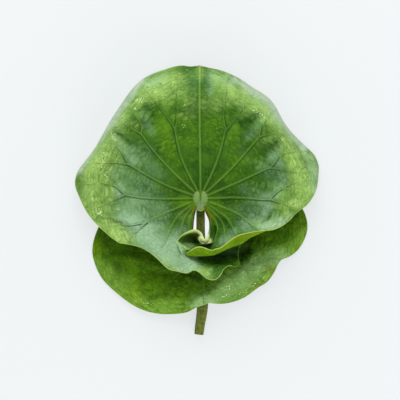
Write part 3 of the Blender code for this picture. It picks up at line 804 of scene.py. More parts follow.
class Blade:
    """One blade's sheet of points, with all that is measured on it."""

    def __init__(self, sheet, strides, stations, lip):
        self.sheet = sheet
        self.strides = strides
        self.lip = lip
        self.normals = sheet_normals(sheet)
        self.run = distance_from(sheet, 0, 0)
        self.to_margin = distance_from(sheet, 0, -1)
        self.to_slit = np.minimum(distance_from(sheet, 1, 0), distance_from(sheet, 1, -1))
        self.station = np.broadcast_to(stations, sheet.shape[:2])
        self.along = np.stack([self.station, self.run / 10], axis=2)
        self.bulge = np.full(sheet.shape[:2], MARGIN_BULGE)
        self.relief = np.zeros(sheet.shape[:2])
        self.face_rise = np.zeros(sheet.shape[:2])
        self.under_rise = np.zeros(sheet.shape[:2])
        self.marks = {}

    def add_veins(self, veins, plain_sheet):
        self.face_rise, self.under_rise, pale, dark, self.to_vein = veins.trace(plain_sheet)
        self.marks["pale"] = pale
        self.marks["dark"] = dark

    def add_cushions(self, across, outward, height, seed, bloom_and_reflection):
        """Raises the tissue between creases that run from rib to rib and are closer together outward."""
        cells = np.stack([self.station * across, self.run / outward], axis=2)
        cells[:, :, 0] += 0.3 * sway(self.sheet, 12.0, seed)
        cells[:, :, 1] += 0.7 * sway(self.sheet, 14.0, seed + 20) + 0.25 * sway(self.sheet, 5.0, seed + 40)
        away = quilt(cells, seed)
        calm = np.clip(self.to_margin / CALM_MARGIN, 0, 1) * np.clip(self.run / CALM_PAD, 0, 1)
        calm *= np.clip(self.to_slit / CALM_SLIT, 0, 1)
        wrinkled = calm * np.clip(self.to_vein / CALM_VEIN, 0.1, 1)
        wrinkled *= np.clip(0.75 + 0.9 * sway(self.sheet, 17.0, seed + 60), 0.25, 1.2) * (1 - 0.6 * bloom_and_reflection)
        self.relief += wrinkled * height * (np.minimum(1, away * 2.0) - 0.5)
        self.relief += calm * 0.5 * sway(self.sheet, 9.0, seed)
        # Shade is painted into the creases.
        self.marks["crease_shade"] = np.clip(wrinkled * fading(away, CREASE_WIDTH), 0, 1)

    def surfaces(self):
        """The points of the face and of the underside, the underside clear of every trough in the face."""
        face_height = self.relief + self.face_rise
        lowest = np.minimum(self.relief, lowest_around(face_height))
        under_height = lowest - BLADE_THICKNESS - self.under_rise
        heights = face_height, under_height
        return [self.sheet + self.normals * height[:, :, None] for height in heights]

    def lip_line(self):
        """Points on the lip, from one edge of the slit to the other, without the two ends."""
        share = np.linspace(0, 1, LIP_STEPS + 1)[1:-1]
        ends = [self.sheet[0, -1]] + [np.array(point, float) for point in self.lip] + [self.sheet[0, 0]]
        path = smooth_path(ends, LIP_PATH_STEP)
        return path[(share * (len(path) - 1)).astype(int)]

    def edge(self):
        """Rows and columns of the points down one edge of the slit, round the margin and up the other."""
        rows, columns = self.sheet.shape[:2]
        down = np.arange(rows)
        across = np.arange(1, columns)
        edge_rows = np.concatenate([down, np.full(columns - 1, rows - 1), down[-2::-1]])
        edge_columns = np.concatenate([np.zeros(rows, int), across, np.full(rows - 1, columns - 1)])
        return edge_rows, edge_columns

    def edge_mark(self, mark, edge, lip_count):
        """A mark along the edge and back over the lip."""
        values = np.broadcast_to(np.asarray(self.marks.get(mark, 0.0), float), self.sheet.shape[:2])[edge]
        return np.append(values, np.full(lip_count, LIP_MARKS.get(mark, 0.0)))

    def build(self, name, pad, materials):
        """The closed piece: face, underside at half the fineness, rolled margin between them, and pad."""
        skin = Skin()
        face, under = self.surfaces()
        face_ids = skin.add_points(face, self.along, self.marks)
        under_ids = skin.add_points(under, self.along, self.marks)
        face_lines = [ids[::stride] for ids, stride in zip(face_ids, self.strides)]
        under_lines = [ids[:: 2 * stride] for ids, stride in zip(under_ids, self.strides)]
        for inner, outer in zip(face_lines, face_lines[1:]):
            skin.strip(inner, outer, FACE)
        for inner, outer in zip(under_lines[:-1:2], under_lines[2::2]):
            skin.strip(inner, outer, UNDERSIDE, flipped=True)

        lip = self.lip_line()
        lip_top = lip + (0, 0, LIP_RISE)
        lip_bottom = lip - (0, 0, BLADE_THICKNESS)
        lip_along = np.zeros((len(lip), 2))
        lip_face = skin.add_points(lip_top, lip_along, LIP_MARKS)
        lip_under = skin.add_points(lip_bottom, lip_along, LIP_MARKS)

        # The rolled margin goes round the whole edge and back over the lip.
        edge = self.edge()
        top = np.concatenate([face[edge], lip_top])
        bottom = np.concatenate([under[edge], lip_bottom])
        up = np.tile((0.0, 0.0, 1.0), (len(lip), 1))
        heading = headings_round(np.concatenate([self.sheet[edge], lip]))
        outward = np.cross(heading, np.concatenate([self.normals[edge], up]))
        bulge = np.append(self.bulge[edge], np.full(len(lip), LIP_BULGE))[:, None]
        along = np.concatenate([self.along[edge], lip_along])
        marks = {mark: self.edge_mark(mark, edge, len(lip)) for mark in MARKS}
        ring = np.append(face_ids[edge], lip_face)
        for k in range(1, EDGE_ROWS):
            turn = math.pi * k / EDGE_ROWS
            points = (top + bottom) / 2 + (top - bottom) / 2 * math.cos(turn)
            points = points + outward * bulge * math.sin(turn)
            following = skin.add_points(points, along, marks)
            skin.strip(ring, following, FACE if k == 1 else UNDERSIDE, closed=True)
            ring = following
        skin.strip(ring, np.append(under_ids[edge][::2], lip_under[1::2]), UNDERSIDE, closed=True)

        pad.fill(skin, np.append(face_lines[0], lip_face), 0.0)
        pad.fill(skin, np.append(under_lines[0], lip_under[1::2]), BLADE_THICKNESS)
        return skin.to_object(name, materials)


class Pad:
    """The middle of a blade, over the stem, where all its ribs meet."""

    def __init__(self, centre, directions, rise, marks):
        self.centre = np.array(centre, float)
        self.directions = np.radians(directions)
        self.rise = rise
        self.marks = marks

    def fill(self, skin, outer, depth):
        """Closes a ring of points: the face if depth is 0, or else the underside that far below it."""
        is_face = depth == 0.0
        look = FACE if is_face else UNDERSIDE
        outline = np.concatenate(skin.points)[outer]
        pole = self.centre - (0, 0, depth)
        ring = outer
        for k in range(1, PAD_ROWS + 1):
            left = 1 - k / PAD_ROWS
            points = pole + (outline - pole) * (left, left, left**PAD_CROWN)
            if k == PAD_ROWS:
                points = points[:1]
            if is_face:
                points[:, 2] += self.rise(points[:, 0], points[:, 1])
            marks = self.marks_at(points) if is_face else {}
            inner = skin.add_points(points, np.zeros((len(points), 2)), marks)
            if k < PAD_ROWS:
                skin.strip(inner, ring, look, flipped=not is_face, closed=True)
                ring = inner
        skin.fan(inner[0], ring, look, flipped=not is_face)

    def marks_at(self, points):
        """The ribs run on over the pad's edge, up to what the pad itself covers."""
        off = points[:, :2] - self.centre[:2]
        reach = np.linalg.norm(off, axis=1)
        turn = np.arctan2(off[:, 1], off[:, 0])
        rays = np.zeros(len(points))
        for direction in self.directions:
            between = np.abs((turn - direction + math.pi) % (2 * math.pi) - math.pi)
            rays = np.maximum(rays, bell(reach * np.sin(np.minimum(between, WIDEST_RAY)), RAY_WIDTH))
        marks = self.marks(points[:, 0], points[:, 1])
        marks["pale"] = rays * (1 - marks["pad"])
        return marks


# The upper blade

# Soft strokes of colour on the upper blade: half width, strength, and X and Y of the points that each runs
# through.
UPPER_ZONES = {
    # Paler yellow-green tissue, partly painted light on the slopes and crests.
    "light": [
        (15, 0.88, [(-82, 82), (-99, 50), (-109, 25), (-109, 0), (-97, -22), (-78, -37)]),
        (13, 0.8, [(-62, 107), (-50, 114), (-34, 119), (-20, 116)]), (10, 0.4, [(-42, 104), (-28, 103)]),
        (9, 0.4, [(-14, 97), (22, 97)]), (4, 0.3, [(-1, 134), (-1, 124)]), (8, 0.3, [(-98, 14), (-90, 2)]),
        (13, 0.8, [(15, 120), (38, 107), (58, 93), (76, 70), (94, 42)]),
        (15, 0.9, [(97, 32), (103, 12), (97, -3)]), (7, 0.8, [(60, -25), (76, -23), (87, -14)]),
        (10, 0.9, [(-34, -60), (-10, -69), (5, -73)]), (4, 0.5, [(-1, 132), (-1, 120)]),
        (9, 0.5, [(-84, -30), (-62, -40)]), (8, 0.4, [(-76, 56), (-84, 40), (-91, 20), (-91, -4)]),
        (6, 0.55, [(-72, 95), (-60, 96)]), (6, 0.25, [(-70, 78), (-60, 74)]),
        (8, 0.5, [(80, 6), (80, -5), (92, -4)]), (4.5, 0.5, [(102, 52), (110, 40), (113, 28)]),
        (5, 0.35, [(-22, -15), (-12, -16)]), (6, 0.3, [(-22, 85), (-10, 85)]),
        (6, 0.3, [(-24, 105), (-18, 104)]), (6, -0.35, [(-100, 58), (-86, 72)]),
        (6, -0.35, [(58, 76), (70, 70), (79, 64)]), (5, -0.3, [(-102, 46), (-92, 57)]),
        (5, -0.25, [(-21, 115)]), (5, -0.3, [(9, 115)]), (5, -0.3, [(100, 4)]), (5, -0.3, [(79, -14)]),
        (6, -0.25, [(-1, -65)]), (4, -0.25, [(59, 85)]), (4, 0.1, [(-11, 126)]), (5, 0.35, [(-21, 125)]),
        (5, -0.3, [(-11, 115)]), (5, -0.3, [(19, 115)]), (5, 0.25, [(-72, 95)]),
        (5, 0.25, [(-66, 86), (-60, 84)]), (5, 0.25, [(-51, 95)]), (7, 0.15, [(-70, 68), (-60, 72)]),
        (4, 0.25, [(-11, -24), (-10, -17)]), (6, 0.12, [(39, 56), (49, 36)]),
        (6, 0.15, [(58, 56), (70, 54)]),
    ],
    # Bluish waxy bloom, partly painted reflection of the lamps where slopes face them.
    "bloom_and_reflection": [
        (15, 0.5, [(-80, -10), (-62, -16)]), (16, 0.95, [(-62, -30), (-44, -44), (-28, -58), (-12, -65)]),
        (11, 0.28, [(-82, 8), (-58, 2)]), (5.5, 0.42, [(-85, 63), (-76, 49), (-68, 38)]),
        (11, 0.35, [(-86, 26), (-66, 18)]), (5, 0.25, [(-58, 88), (-48, 66)]),
        (5, 0.28, [(61, 80), (46, 62)]), (5.5, 0.3, [(79, 52), (68, 42)]),
        (10, 0.22, [(-66, 48), (-50, 32), (-42, 26)]), (9, 0.38, [(80, 16), (75, 6)]),
        (11, 0.33, [(62, 32), (80, 22)]), (10, 0.15, [(34, -8), (48, -14)]),
        (5, 0.4, [(104, 50), (111, 30), (113, 10)]), (13, 0.46, [(66, 2), (60, -18), (48, -27)]),
        (7, 0.7, [(33, -32), (20, -42)]), (6, 0.6, [(62, -27), (80, -20)]),
        (9, 0.35, [(-56, 118), (-40, 122)]), (7, 0.35, [(18, 124), (34, 117)]),
        (9, 0.5, [(-27, -44), (-18, -30)]), (7, 0.12, [(-9, 126), (-8, 108)]),
        (6, 0.4, [(9, 128), (9, 108)]), (14, 0.35, [(-60, 2), (-38, -12)]),
        (8, 0.5, [(-80, -18), (-60, -25), (-40, -26)]), (5, 0.35, [(67, 46), (80, 34)]),
        (9, 0.2, [(44, 10), (60, 2)]), (6, 0.25, [(-54, 18), (-46, 12)]),
        (7, 0.16, [(-70, 54), (-54, 50), (-66, 36)]), (5, 0.3, [(-82, 6), (-80, 14)]),
        (5, -0.3, [(-61, 4)]), (5, 0.3, [(70, -5), (64, -14)]), (6, 0.35, [(40, -25)]),
        (5, -0.3, [(19, -35), (29, -34)]), (5, -0.2, [(-82, 76)]), (5, 0.25, [(-81, 35)]),
        (5, 0.2, [(-61, 25)]), (6, -0.25, [(-41, -62), (-30, -66)]),
    ],
    # Painted sheen along the steep edges where the blade curls down.
    "sheen": [
        (5.5, 0.8, [(-60, 119), (-77, 99), (-90, 80), (-103, 62), (-117, 41), (-123, 28)]),
        (6, 0.75, [(34, 121), (55, 107), (70, 99), (78, 85), (93, 66), (104, 53)]),
        (3.5, 0.4, [(110, 45), (116, 36), (118, 20), (115, 8)]),
        (2.2, 0.5, [(90, -15), (80, -23), (68, -27.5)]),
    ],
    "fresh": [
        (9, 0.75, [(-44, 82), (-34, 58), (-30, 46)]), (7, 0.4, [(-11, 80), (-9, 50)]),
        (7, 0.5, [(-24, 84), (-16, 76)]), (9, 0.55, [(33, 70), (34, 52)]), (8, 0.4, [(10, 80), (11, 55)]),
        (9, 0.5, [(42, 38), (26, 24)]), (6, 0.7, [(-26, -2), (-14, -4)]), (7, 0.7, [(12, -5), (22, -14)]),
        (6, 0.8, [(9, 2), (16, -3)]), (5, 0.6, [(-11, -3), (-16, 3)]), (5, 0.8, [(8, -10), (12, -24)]),
        (5, 0.7, [(-9, -10), (-12, -22)]), (8, 0.6, [(98, 26), (100, 12)]),
        (9, 0.4, [(-104, 40), (-106, 8)]), (6, 0.7, [(-76, 84), (-72, 92)]),
        (6, 0.5, [(-50, 104), (-34, 100)]), (7, 0.25, [(-22, 36), (-30, 10)]),
    ],
    # Dark green, partly painted shade in the pockets inside the shoulders and in the folds.
    "deep": [
        (4.5, 0.6, [(-60, 92), (-50, 90)]), (6, 0.5, [(-48, 84), (-40, 70)]),
        (6, 0.6, [(-88, 68), (-70, 58)]), (6, 0.5, [(-66, 62), (-56, 48)]),
        (6.5, 0.8, [(40, 79), (50, 81), (57, 86)]), (5, 0.6, [(44, 72), (50, 76)]),
        (6, 0.6, [(62, 54), (72, 55), (78, 60)]), (5, 0.6, [(64, 74), (68, 66)]),
        (5, 0.8, [(-5, 40), (-4, 13)]), (5, 0.8, [(6, 34), (7, 14)]),
        (7, 0.7, [(57, 25), (69, 22), (80, 20)]), (8, 0.6, [(20, -18), (31, -26)]),
        (4, 0.2, [(-11, 128), (-9, 106)]), (3.5, 0.5, [(6, 129), (6, 106)]),
        (5, 1, [(-18, -36), (-4, -38)]), (6, 0.5, [(-52, 60), (-44, 44)]), (5, 0.5, [(50, 80), (58, 84)]),
        (8, 0.3, [(33, 84), (33, 66)]), (5, 0.35, [(-2, 116), (9, 115)]), (4, 0.35, [(29, -65)]),
        (6, 0.35, [(-80, 24), (-66, 14)]), (2.5, 0.7, [(66, -20), (71, -10)]),
        (2, 0.6, [(60, -23), (69, -17)]),
    ],
    # Painted shade in the pockets by the shoulders, under the rolled rim and beside the cup's hanging
    # corner.
    "painted_shade": [
        (2.4, 0.5, [(-59, 93), (-53, 94.5)]), (1.4, 0.5, [(-64, 89), (-60, 90)]),
        (3.2, 0.45, [(-86, 68), (-80, 64), (-70, 56)]), (1.2, 0.3, [(-84, 67), (-79, 65)]),
        (3, 0.4, [(40, 78), (49, 80)]), (2.4, 0.55, [(49, 83), (58, 88)]), (3, 0.5, [(69, 53), (76, 58)]),
        (1.8, 0.5, [(-93, -17.5), (-86, -21), (-78, -23)]), (1.5, 0.4, [(-84, 30), (-76, 24)]),
        (6, 0.85, [(0, -58), (12, -58.5), (24, -57)]), (6, 1.5, [(27, -53), (34, -52.5), (41, -50)]),
        (1.3, 0.5, [(-23.6, -44), (-23, -49), (-19.5, -54.5)]),
    ],
    "speck": [
        (4, 1, [(-90, 69), (-86, 60)]), (5, 0.9, [(-97, 48), (-97, 33)]), (3, 0.8, [(-99, 26), (-88, 22)]),
        (3, 1, [(-103, -9), (-101, -15)]), (2.5, 1, [(-66, 91)]), (3, 1, [(-66, 100), (-54, 100)]),
        (2.5, 0.9, [(-17, 94)]), (2.5, 0.9, [(-17, 74)]), (2.5, 0.8, [(-14, 130)]),
        (3, 1, [(52, 91), (62, 84)]), (3, 0.9, [(65, 95), (66, 91)]), (2.5, 1, [(80, 60), (84, 63)]),
        (2.5, 0.9, [(97, 45), (99, 43)]), (2.5, 0.9, [(82, 25), (83, 20)]), (2, 1, [(13.5, 115)]),
        (2, 1, [(-83, -10)]), (2, 0.8, [(96, 9)]),
    ],
    "amber": [(2.2, 0.9, [(-6.5, -8.5)]), (2.2, 0.9, [(5, -9)]), (2.5, 0.5, [(7.5, -12), (9.5, -20)])],
}

# The same for the end of the right lobe, where it forms a little cup, and for its rolled rim. In the cup,
# shade is painted inside it and light along its crest; on the rolled rim, shade is painted along its lower
# edge.
CUP_ZONES = {
    "deep": [(4, 0.2, [(-8, -36), (-2, -38)])],
    "fresh": [(5, 0.7, [(-18, -39), (-11, -44)])],
    "brown": [(3.4, 1, [(-7, -33), (-2, -38)])],
    "bloom_and_reflection": [(4.5, 1.1, [(-24, -45), (-20, -53)]), (5, 0.3, [(-16, -43), (-8, -46)])],
    "light": [
        (1.3, 0.9, [(-23, -42), (-16, -47.5), (-9, -50.5)]), (3, 0.5, [(-20, -50), (-15, -53)]),
        (4, 0.35, [(-17, -39), (-10, -43)]),
    ],
    "painted_shade": [(2.4, 0.4, [(-5, -37), (-1, -39.5)])],
}
RIM_ZONES = {
    "brown": [
        (3, 0.5, [(16, -47), (25, -42)]), (3.2, 0.3, [(32, -38), (43, -35)]), (0.8, 1, [(-2, -50)]),
        (0.7, 1, [(6, -49.3)]), (1.2, 0.35, [(50, -34), (58, -32)]),
    ],
    "deep": [(2.5, 0.5, [(-14, -55.5), (4, -55.8), (20, -52.5), (42, -44), (56, -36)])],
}

# Low swellings and hollows of the upper blade, in the same form, with the rise as the strength.
UPPER_SWELLINGS = [
    (4.5, -1.2, [(-60, 94), (-50, 90)]), (4.5, -1.7, [(-87, 67), (-71, 59)]),
    (4.5, -1.8, [(39, 78), (57, 87)]), (5, -1.6, [(63, 54), (78, 60)]),
    (4, 0.4, [(-59, 92), (-51, 70), (-46, 52)]), (4, 1, [(-84, 62), (-62, 36)]),
    (4, 0.8, [(61, 82), (44, 58)]), (4, 0.4, [(81, 53), (60, 31)]), (2.2, -1.3, [(-93, -18), (-79, -23)]),
    (9, -1.2, [(-1, 130), (-1, 98)]), (7, 1.2, [(-80, -12), (-62, -18)]), (6, 1, [(76, 10), (72, 0)]),
    (3, 0.8, [(74, 9), (84, 14), (89, 20)]), (4, -1, [(66, 24), (78, 20)]),
    (2, -0.8, [(-84, 30), (-76, 24)]), (5, 1.2, [(-22, 118), (-34, 110)]), (5, 1.2, [(24, 114), (38, 106)]),
]

# The left lobe's crest, outside which it turns outward, and the hollow between it and the rolled rim.
LEFT_LOBE_SWELLINGS = [
    (6.5, 5.5, [(-19, -53), (-7, -62), (4, -67), (18, -68)]),
    (2.6, 1.8, [(-19, -52), (-6, -62), (3, -66), (24, -67)]), (7, -4, [(6, -57), (32, -57)]),
    (5, -2.5, [(-24, -72), (-2, -75)]), (5, -3, [(10, -82), (18, -78)]),
]

# The right lobe's end: the crest on the cup's left side, the corner that hangs down beside it, and the
# floor of the cup. Then the thick knot at the crumpled corner.
CUP_SWELLINGS = [
    (2.2, 3.2, [(-24, -42), (-17, -47.5), (-9, -51)]), (3.5, -3.5, [(-23.5, -47), (-19, -54)]),
    (5, -1.5, [(-15, -41), (-6, -43)]),
]
KNOT_SWELLINGS = [(5, 5.5, [(2, -40), (9.5, -44)])]


# How far the fold of the rolled rim lies nearer to the pad than on the plain sheet, by station.
RIM_NARROWING = [
    (-9, 0), (-8.4, 1.2), (-8, 1.8), (-7.5, 1.6), (-7, 2.4), (-6.5, 2), (-6, 2.4), (-5.5, 4.6), (-5.2, 3.6),
    (-5, 2.2), (-4.7, 0.5), (-4.5, 0),
]


# How much of that move there is at each depth.
FOLD_SHARE = [(0.66, 0), (0.8, 1), (0.9, 1), (1, 0)]

# How red the edge of the slit is, by the distance from the pad.
SLIT_RED_BY_RUN = [(0, 0), (4, 0.3), (9, 1), (20, 1), (26, 0)]

# How far the rim of the cup is crumpled and how cream-coloured it is, by station, and the knot beside it.
CRUMPLED_RIM = [(-10.2, 1), (-9.75, 0.9), (-9.55, 0.5), (-9.3, 0)]
CREAM_RIM = [(-10.2, 1), (-10, 0.9), (-9.85, 0.45), (-9.65, 0.15)]
KNOT = [(4.6, 1, [(0.5, -38), (4.5, -42), (10, -45)])]

# The upper pad has two lobes with a seam between them, and a stub that tapers towards the lip.
PAD_LOBES = [(-4.2, 2.5), (3.4, 2.5)]
PAD_LOBE_RADII = (3.9, 6.2)
PAINTED_LOBE_RADII = (3.9, 6.4)
PAD_LOBE_RISE = 1.5
PAD_STUB = (-0.4, -4.5)
PAD_STUB_RADII = (4.0, 6.5)
PAINTED_STUB = (-0.4, -5.0)
PAINTED_STUB_RADII = (3.6, 5.6)
PAD_STUB_RISE = 0.7
PAD_STUB_STRENGTH = 0.8
PAD_SEAM_X = -0.4
PAD_SEAM_WIDTH = 0.6
PAINTED_SEAM_WIDTH = 0.75
PAD_SEAM_DEPTH = 0.9

# The lower pad is one low dome.
LOWER_PAD_DOME = (1.5, -51.0)
LOWER_PAD_DOME_RADII = (8.0, 6.5)
PAINTED_DOME_RADII = (6.5, 5.0)
LOWER_PAD_DOME_RISE = 1.2


def oval(x, y, middle, radii):
    """How far out places are in an oval, squared: 0 in its middle and 1 on its edge."""
    return ((x - middle[0]) / radii[0]) ** 2 + ((y - middle[1]) / radii[1]) ** 2


def dome(x, y, middle, radii, rise):
    """The height of a dome with an oval foot."""
    return rise * np.sqrt(np.clip(1 - oval(x, y, middle, radii), 0, 1))


def upper_pad_rise(x, y):
    """The height of the two lobes over the stem, the seam between them and the stub."""
    rise = dome(x, y, PAD_STUB, PAD_STUB_RADII, PAD_STUB_RISE)
    for middle in PAD_LOBES:
        rise = np.maximum(rise, dome(x, y, middle, PAD_LOBE_RADII, PAD_LOBE_RISE))
    return rise - PAD_SEAM_DEPTH * fading(x - PAD_SEAM_X, PAD_SEAM_WIDTH) * (np.abs(y - 1) < 8)


def upper_pad_marks(x, y):
    """The colours of the two lobes, the seam and the stub."""
    lobes = np.zeros_like(x)
    for middle in PAD_LOBES:
        reach = np.sqrt(oval(x, y, middle, PAINTED_LOBE_RADII))
        lobes = np.maximum(lobes, np.clip((1.1 - reach) * 4, 0, 1))
    stub_reach = np.sqrt(oval(x, y, PAINTED_STUB, PAINTED_STUB_RADII))
    stub = PAD_STUB_STRENGTH * np.clip((1.15 - stub_reach) * 2.2, 0, 1)
    seam = fading(x - PAD_SEAM_X, PAINTED_SEAM_WIDTH) * np.clip((y + 4) / 3, 0, 1)
    lobes = lobes * (1 - 0.75 * seam)
    return {"pad": np.maximum(lobes, stub), "stub": stub * (1 - lobes), "deep": 0.5 * (y > 7), "fresh": 0.5}


def swell_upper_sheet(sheet, depths, stations, in_cup):
    """Adds the low swellings and hollows, each kind in its own region."""
    in_knot = (stations < KNOT_STATION) * np.clip((depths[:, None] - KNOT_DEPTH) * 8, 0, 1)
    regions = (
        (UPPER_SWELLINGS, stations > RIGHT_LOBE_STATION),
        (LEFT_LOBE_SWELLINGS, np.clip(stations - LEFT_LOBE_STATION, 0, 1)),
        (CUP_SWELLINGS, in_cup),
        (KNOT_SWELLINGS, in_knot),
    )
    for swellings, region in regions:
        sheet[:, :, 2] += brushed(sheet, swellings) * region


def paint_upper_blade(blade, in_cup, in_rim):
    """Sets the marks of the upper blade, with other zones in the little cup and on the rolled rim."""
    zones = brushed_marks(blade.sheet, UPPER_ZONES, edge_wander(blade.sheet, 3.0))
    bloom_or_sheen = np.maximum(zones["bloom_and_reflection"], zones["sheen"])
    blade.add_cushions(across=3.0, outward=4.3, height=0.75, seed=1.5, bloom_and_reflection=bloom_or_sheen)
    for name, values in zones.items():
        blade.marks[name] = values * (1 - in_cup) * (1 - in_rim)
    for table, region in ((CUP_ZONES, in_cup), (RIM_ZONES, in_rim)):
        for name, values in brushed_marks(blade.sheet, table).items():
            blade.marks[name] = blade.marks.get(name, 0.0) + values * region
    blade.marks["rim"] = read_off(UPPER_RIM_STRENGTH, blade.station) * np.exp(-blade.to_margin / 0.4)
    blade.marks["red"] = read_off(UPPER_RIM_RED, blade.station)
    blade.marks["slit"] = fading(blade.to_slit, 0.8) * read_off(SLIT_RED_BY_RUN, blade.run)


def make_upper_blade():
    depths, strides = mesh_rows(UPPER_ROWS)
    stations = spread_stations(upper_sheet, UPPER_START[0][0], UPPER_START[-1][0], UPPER_COLUMNS)
    sheet = upper_sheet(depths, stations)
    run = distance_from(sheet, 0, 0)
    sheet[:, :, 1] += np.outer(read_off(FOLD_SHARE, depths), read_off(RIM_NARROWING, stations))
    plain_sheet = sheet.copy()
    beyond = depths[:, None]
    in_cup = np.clip((CUP_STATION - stations) * 5, 0, 1) * np.clip((beyond - CUP_DEPTH) * 12, 0, 1)
    in_rim = ((stations < RIM_STATION) & (beyond > RIM_DEPTH)) * (1 - in_cup)
    swell_upper_sheet(sheet, depths, stations, in_cup)
    shift = SLIT_EDGE_SHIFT * fading(run - SLIT_EDGE_RUN, SLIT_EDGE_REACH)
    sheet[:, :, 0] += shift * np.clip(stations - SLIT_EDGE_STATION, 0, 1)

    blade = Blade(sheet, strides, stations, UPPER_LIP[::-1])
    blade.add_veins(upper_veins(plain_sheet, stations, depths), plain_sheet)
    blade.under_rise *= 1 - 0.8 * in_rim
    paint_upper_blade(blade, in_cup, in_rim)
    blade.bulge = blade.bulge + TIP_BULGE * fading(blade.station, TIP_WIDTH) * (beyond == 1)
    add_crumpled_corner(blade)
    directions = [direction for station, direction in UPPER_START if station == round(station)]
    pad = Pad(UPPER_PAD_CENTRE, directions, upper_pad_rise, upper_pad_marks)
    materials = [
        face_material("upper_blade_face", UPPER_COLOURS, UPPER_SHINE),
        underside_material("upper_blade_underside", YELLOW_GREEN_SHINE),
    ]
    return blade.build("lotus_upper_blade", pad, materials)


def add_crumpled_corner(blade):
    """Thickens the rim of the little cup and the corner beside it into pale, crumpled lumps."""
    lumps = 1 + 0.6 * sway(blade.sheet, 1.7, 5.0)
    on_rim = read_off(CRUMPLED_RIM, blade.station) * fading(blade.to_margin, 2.4)
    on_slit = 0.8 * (np.clip((blade.run - 23) / 8, 0, 1) * (blade.station < 0)) * fading(blade.to_slit, 2.0)
    swelling = np.maximum(on_rim, on_slit)
    knot = brushed(blade.sheet, KNOT) * (blade.station < -9.0)
    blade.face_rise += 1.1 * swelling * lumps + 3.3 * knot * (0.9 + 0.9 * sway(blade.sheet, 2.0, 9.0))
    blade.under_rise += 0.8 * swelling
    blade.bulge = blade.bulge + 1.3 * swelling * lumps
    cream = np.maximum(on_rim * read_off(CREAM_RIM, blade.station), on_slit * 0.7) * 1.3
    blade.marks["cream"] = np.clip(np.maximum(cream, knot * 1.5), 0, 1)
    blade.marks["light"] = np.maximum(blade.marks["light"], on_rim)


# The lower blade

# Strokes of colour on the lower blade, in the same form. The deep strokes are mostly, and the hollow strokes
# wholly, painted shadow cast by the upper blade; the light and bloom strokes are partly painted light.
LOWER_ZONES = {
    "light": [
        (9, 0.7, [(-103, -62), (-92, -82), (-76, -96)]), (9, 0.7, [(-66, -101), (-40, -107), (-14, -106)]),
        (10, 0.3, [(-88, -72), (-72, -84)]), (9, 0.5, [(78, -66), (62, -80), (45, -92)]),
        (8, 0.5, [(102, -30), (98, -42), (88, -52), (76, -60)]),
    ],
    "bloom_and_reflection": [
        (15, 0.6, [(14, -96), (32, -86), (50, -75)]), (11, 0.8, [(48, -68), (66, -60), (84, -56)]),
        (8, 0.5, [(-8, -96), (2, -100)]), (6, 0.9, [(-8, -106), (2, -105), (10, -104)]),
        (6, -0.3, [(-12, -95), (-1, -94)]),
    ],
    "fresh": [
        (8, 0.8, [(-74, -95), (-62, -102)]), (8, 0.4, [(62, -76), (70, -66)]),
        (8, 0.5, [(96, -30), (100, -18)]), (8, 0.5, [(-104, -42), (-106, -52)]),
        (12, 0.2, [(-70, -84), (-50, -92)]),
    ],
    "deep": [
        (12.5, 1, [(-96, -38), (-66, -50), (-40, -66), (-14, -78), (8, -84)]),
        (9, 0.7, [(-30, -84), (0, -88)]), (12, 1, [(40, -50), (60, -42), (80, -32), (96, -16)]),
        (7, 1, [(40, -58), (44, -48)]), (6, 0.8, [(4, -81), (14, -83)]), (7, 0.5, [(56, -55), (70, -56)]),
        (7, 0.7, [(8, -78), (22, -73)]), (5, 0.35, [(46, -72), (54, -76)]),
        (6, 0.45, [(-32, -105), (-18, -106)]), (8, 0.35, [(-86, -78), (-74, -86)]),
        (8, -0.2, [(-90, -44), (-50, -46)]), (7, 0.4, [(-72, -66), (-60, -70)]),
        (6, 0.4, [(59, -55), (49, -66), (49, -76)]), (5, 0.2, [(26, -84), (34, -86)]),
    ],
    "painted_shade": [(6.5, 2.6, [(41.5, -52), (43.5, -47), (46.5, -41)]), (3, 0.8, [(-20, -74), (0, -79)])],
    "brown": [(3, 0.6, [(64, -66), (76, -72)]), (2.5, 0.5, [(55, -86), (60, -84)])],
    "speck": [
        (3, 1, [(25, -90), (29, -86)]), (2.5, 1, [(22, -98), (26, -96)]), (4, 1, [(38, -94), (45, -92)]),
        (2.5, 0.9, [(63, -78)]), (2.5, 0.8, [(52, -88), (55, -84)]), (2.5, 0.8, [(-59, -103), (-48, -105)]),
    ],
}
LOWER_SWELLINGS = [
    (8, -5, [(38, -56), (46, -50)]), (5, 1.5, [(-30, -68), (-60, -60), (-90, -55)]),
    (4, -1, [(-34, -74), (-62, -72)]), (6, 1.2, [(-60, -84), (-84, -70)]), (7, 1.5, [(20, -86), (50, -70)]),
    (5, -1.2, [(52, -62), (84, -50)]), (5, 1, [(-20, -100), (-50, -102)]),
]


def lower_pad_rise(x, y):
    return dome(x, y, LOWER_PAD_DOME, LOWER_PAD_DOME_RADII, LOWER_PAD_DOME_RISE)


def lower_pad_marks(x, y):
    reach = np.sqrt(oval(x, y, LOWER_PAD_DOME, PAINTED_DOME_RADII))
    return {"pad": np.clip((1.1 - reach) * 4, 0, 1), "deep": 0.4}


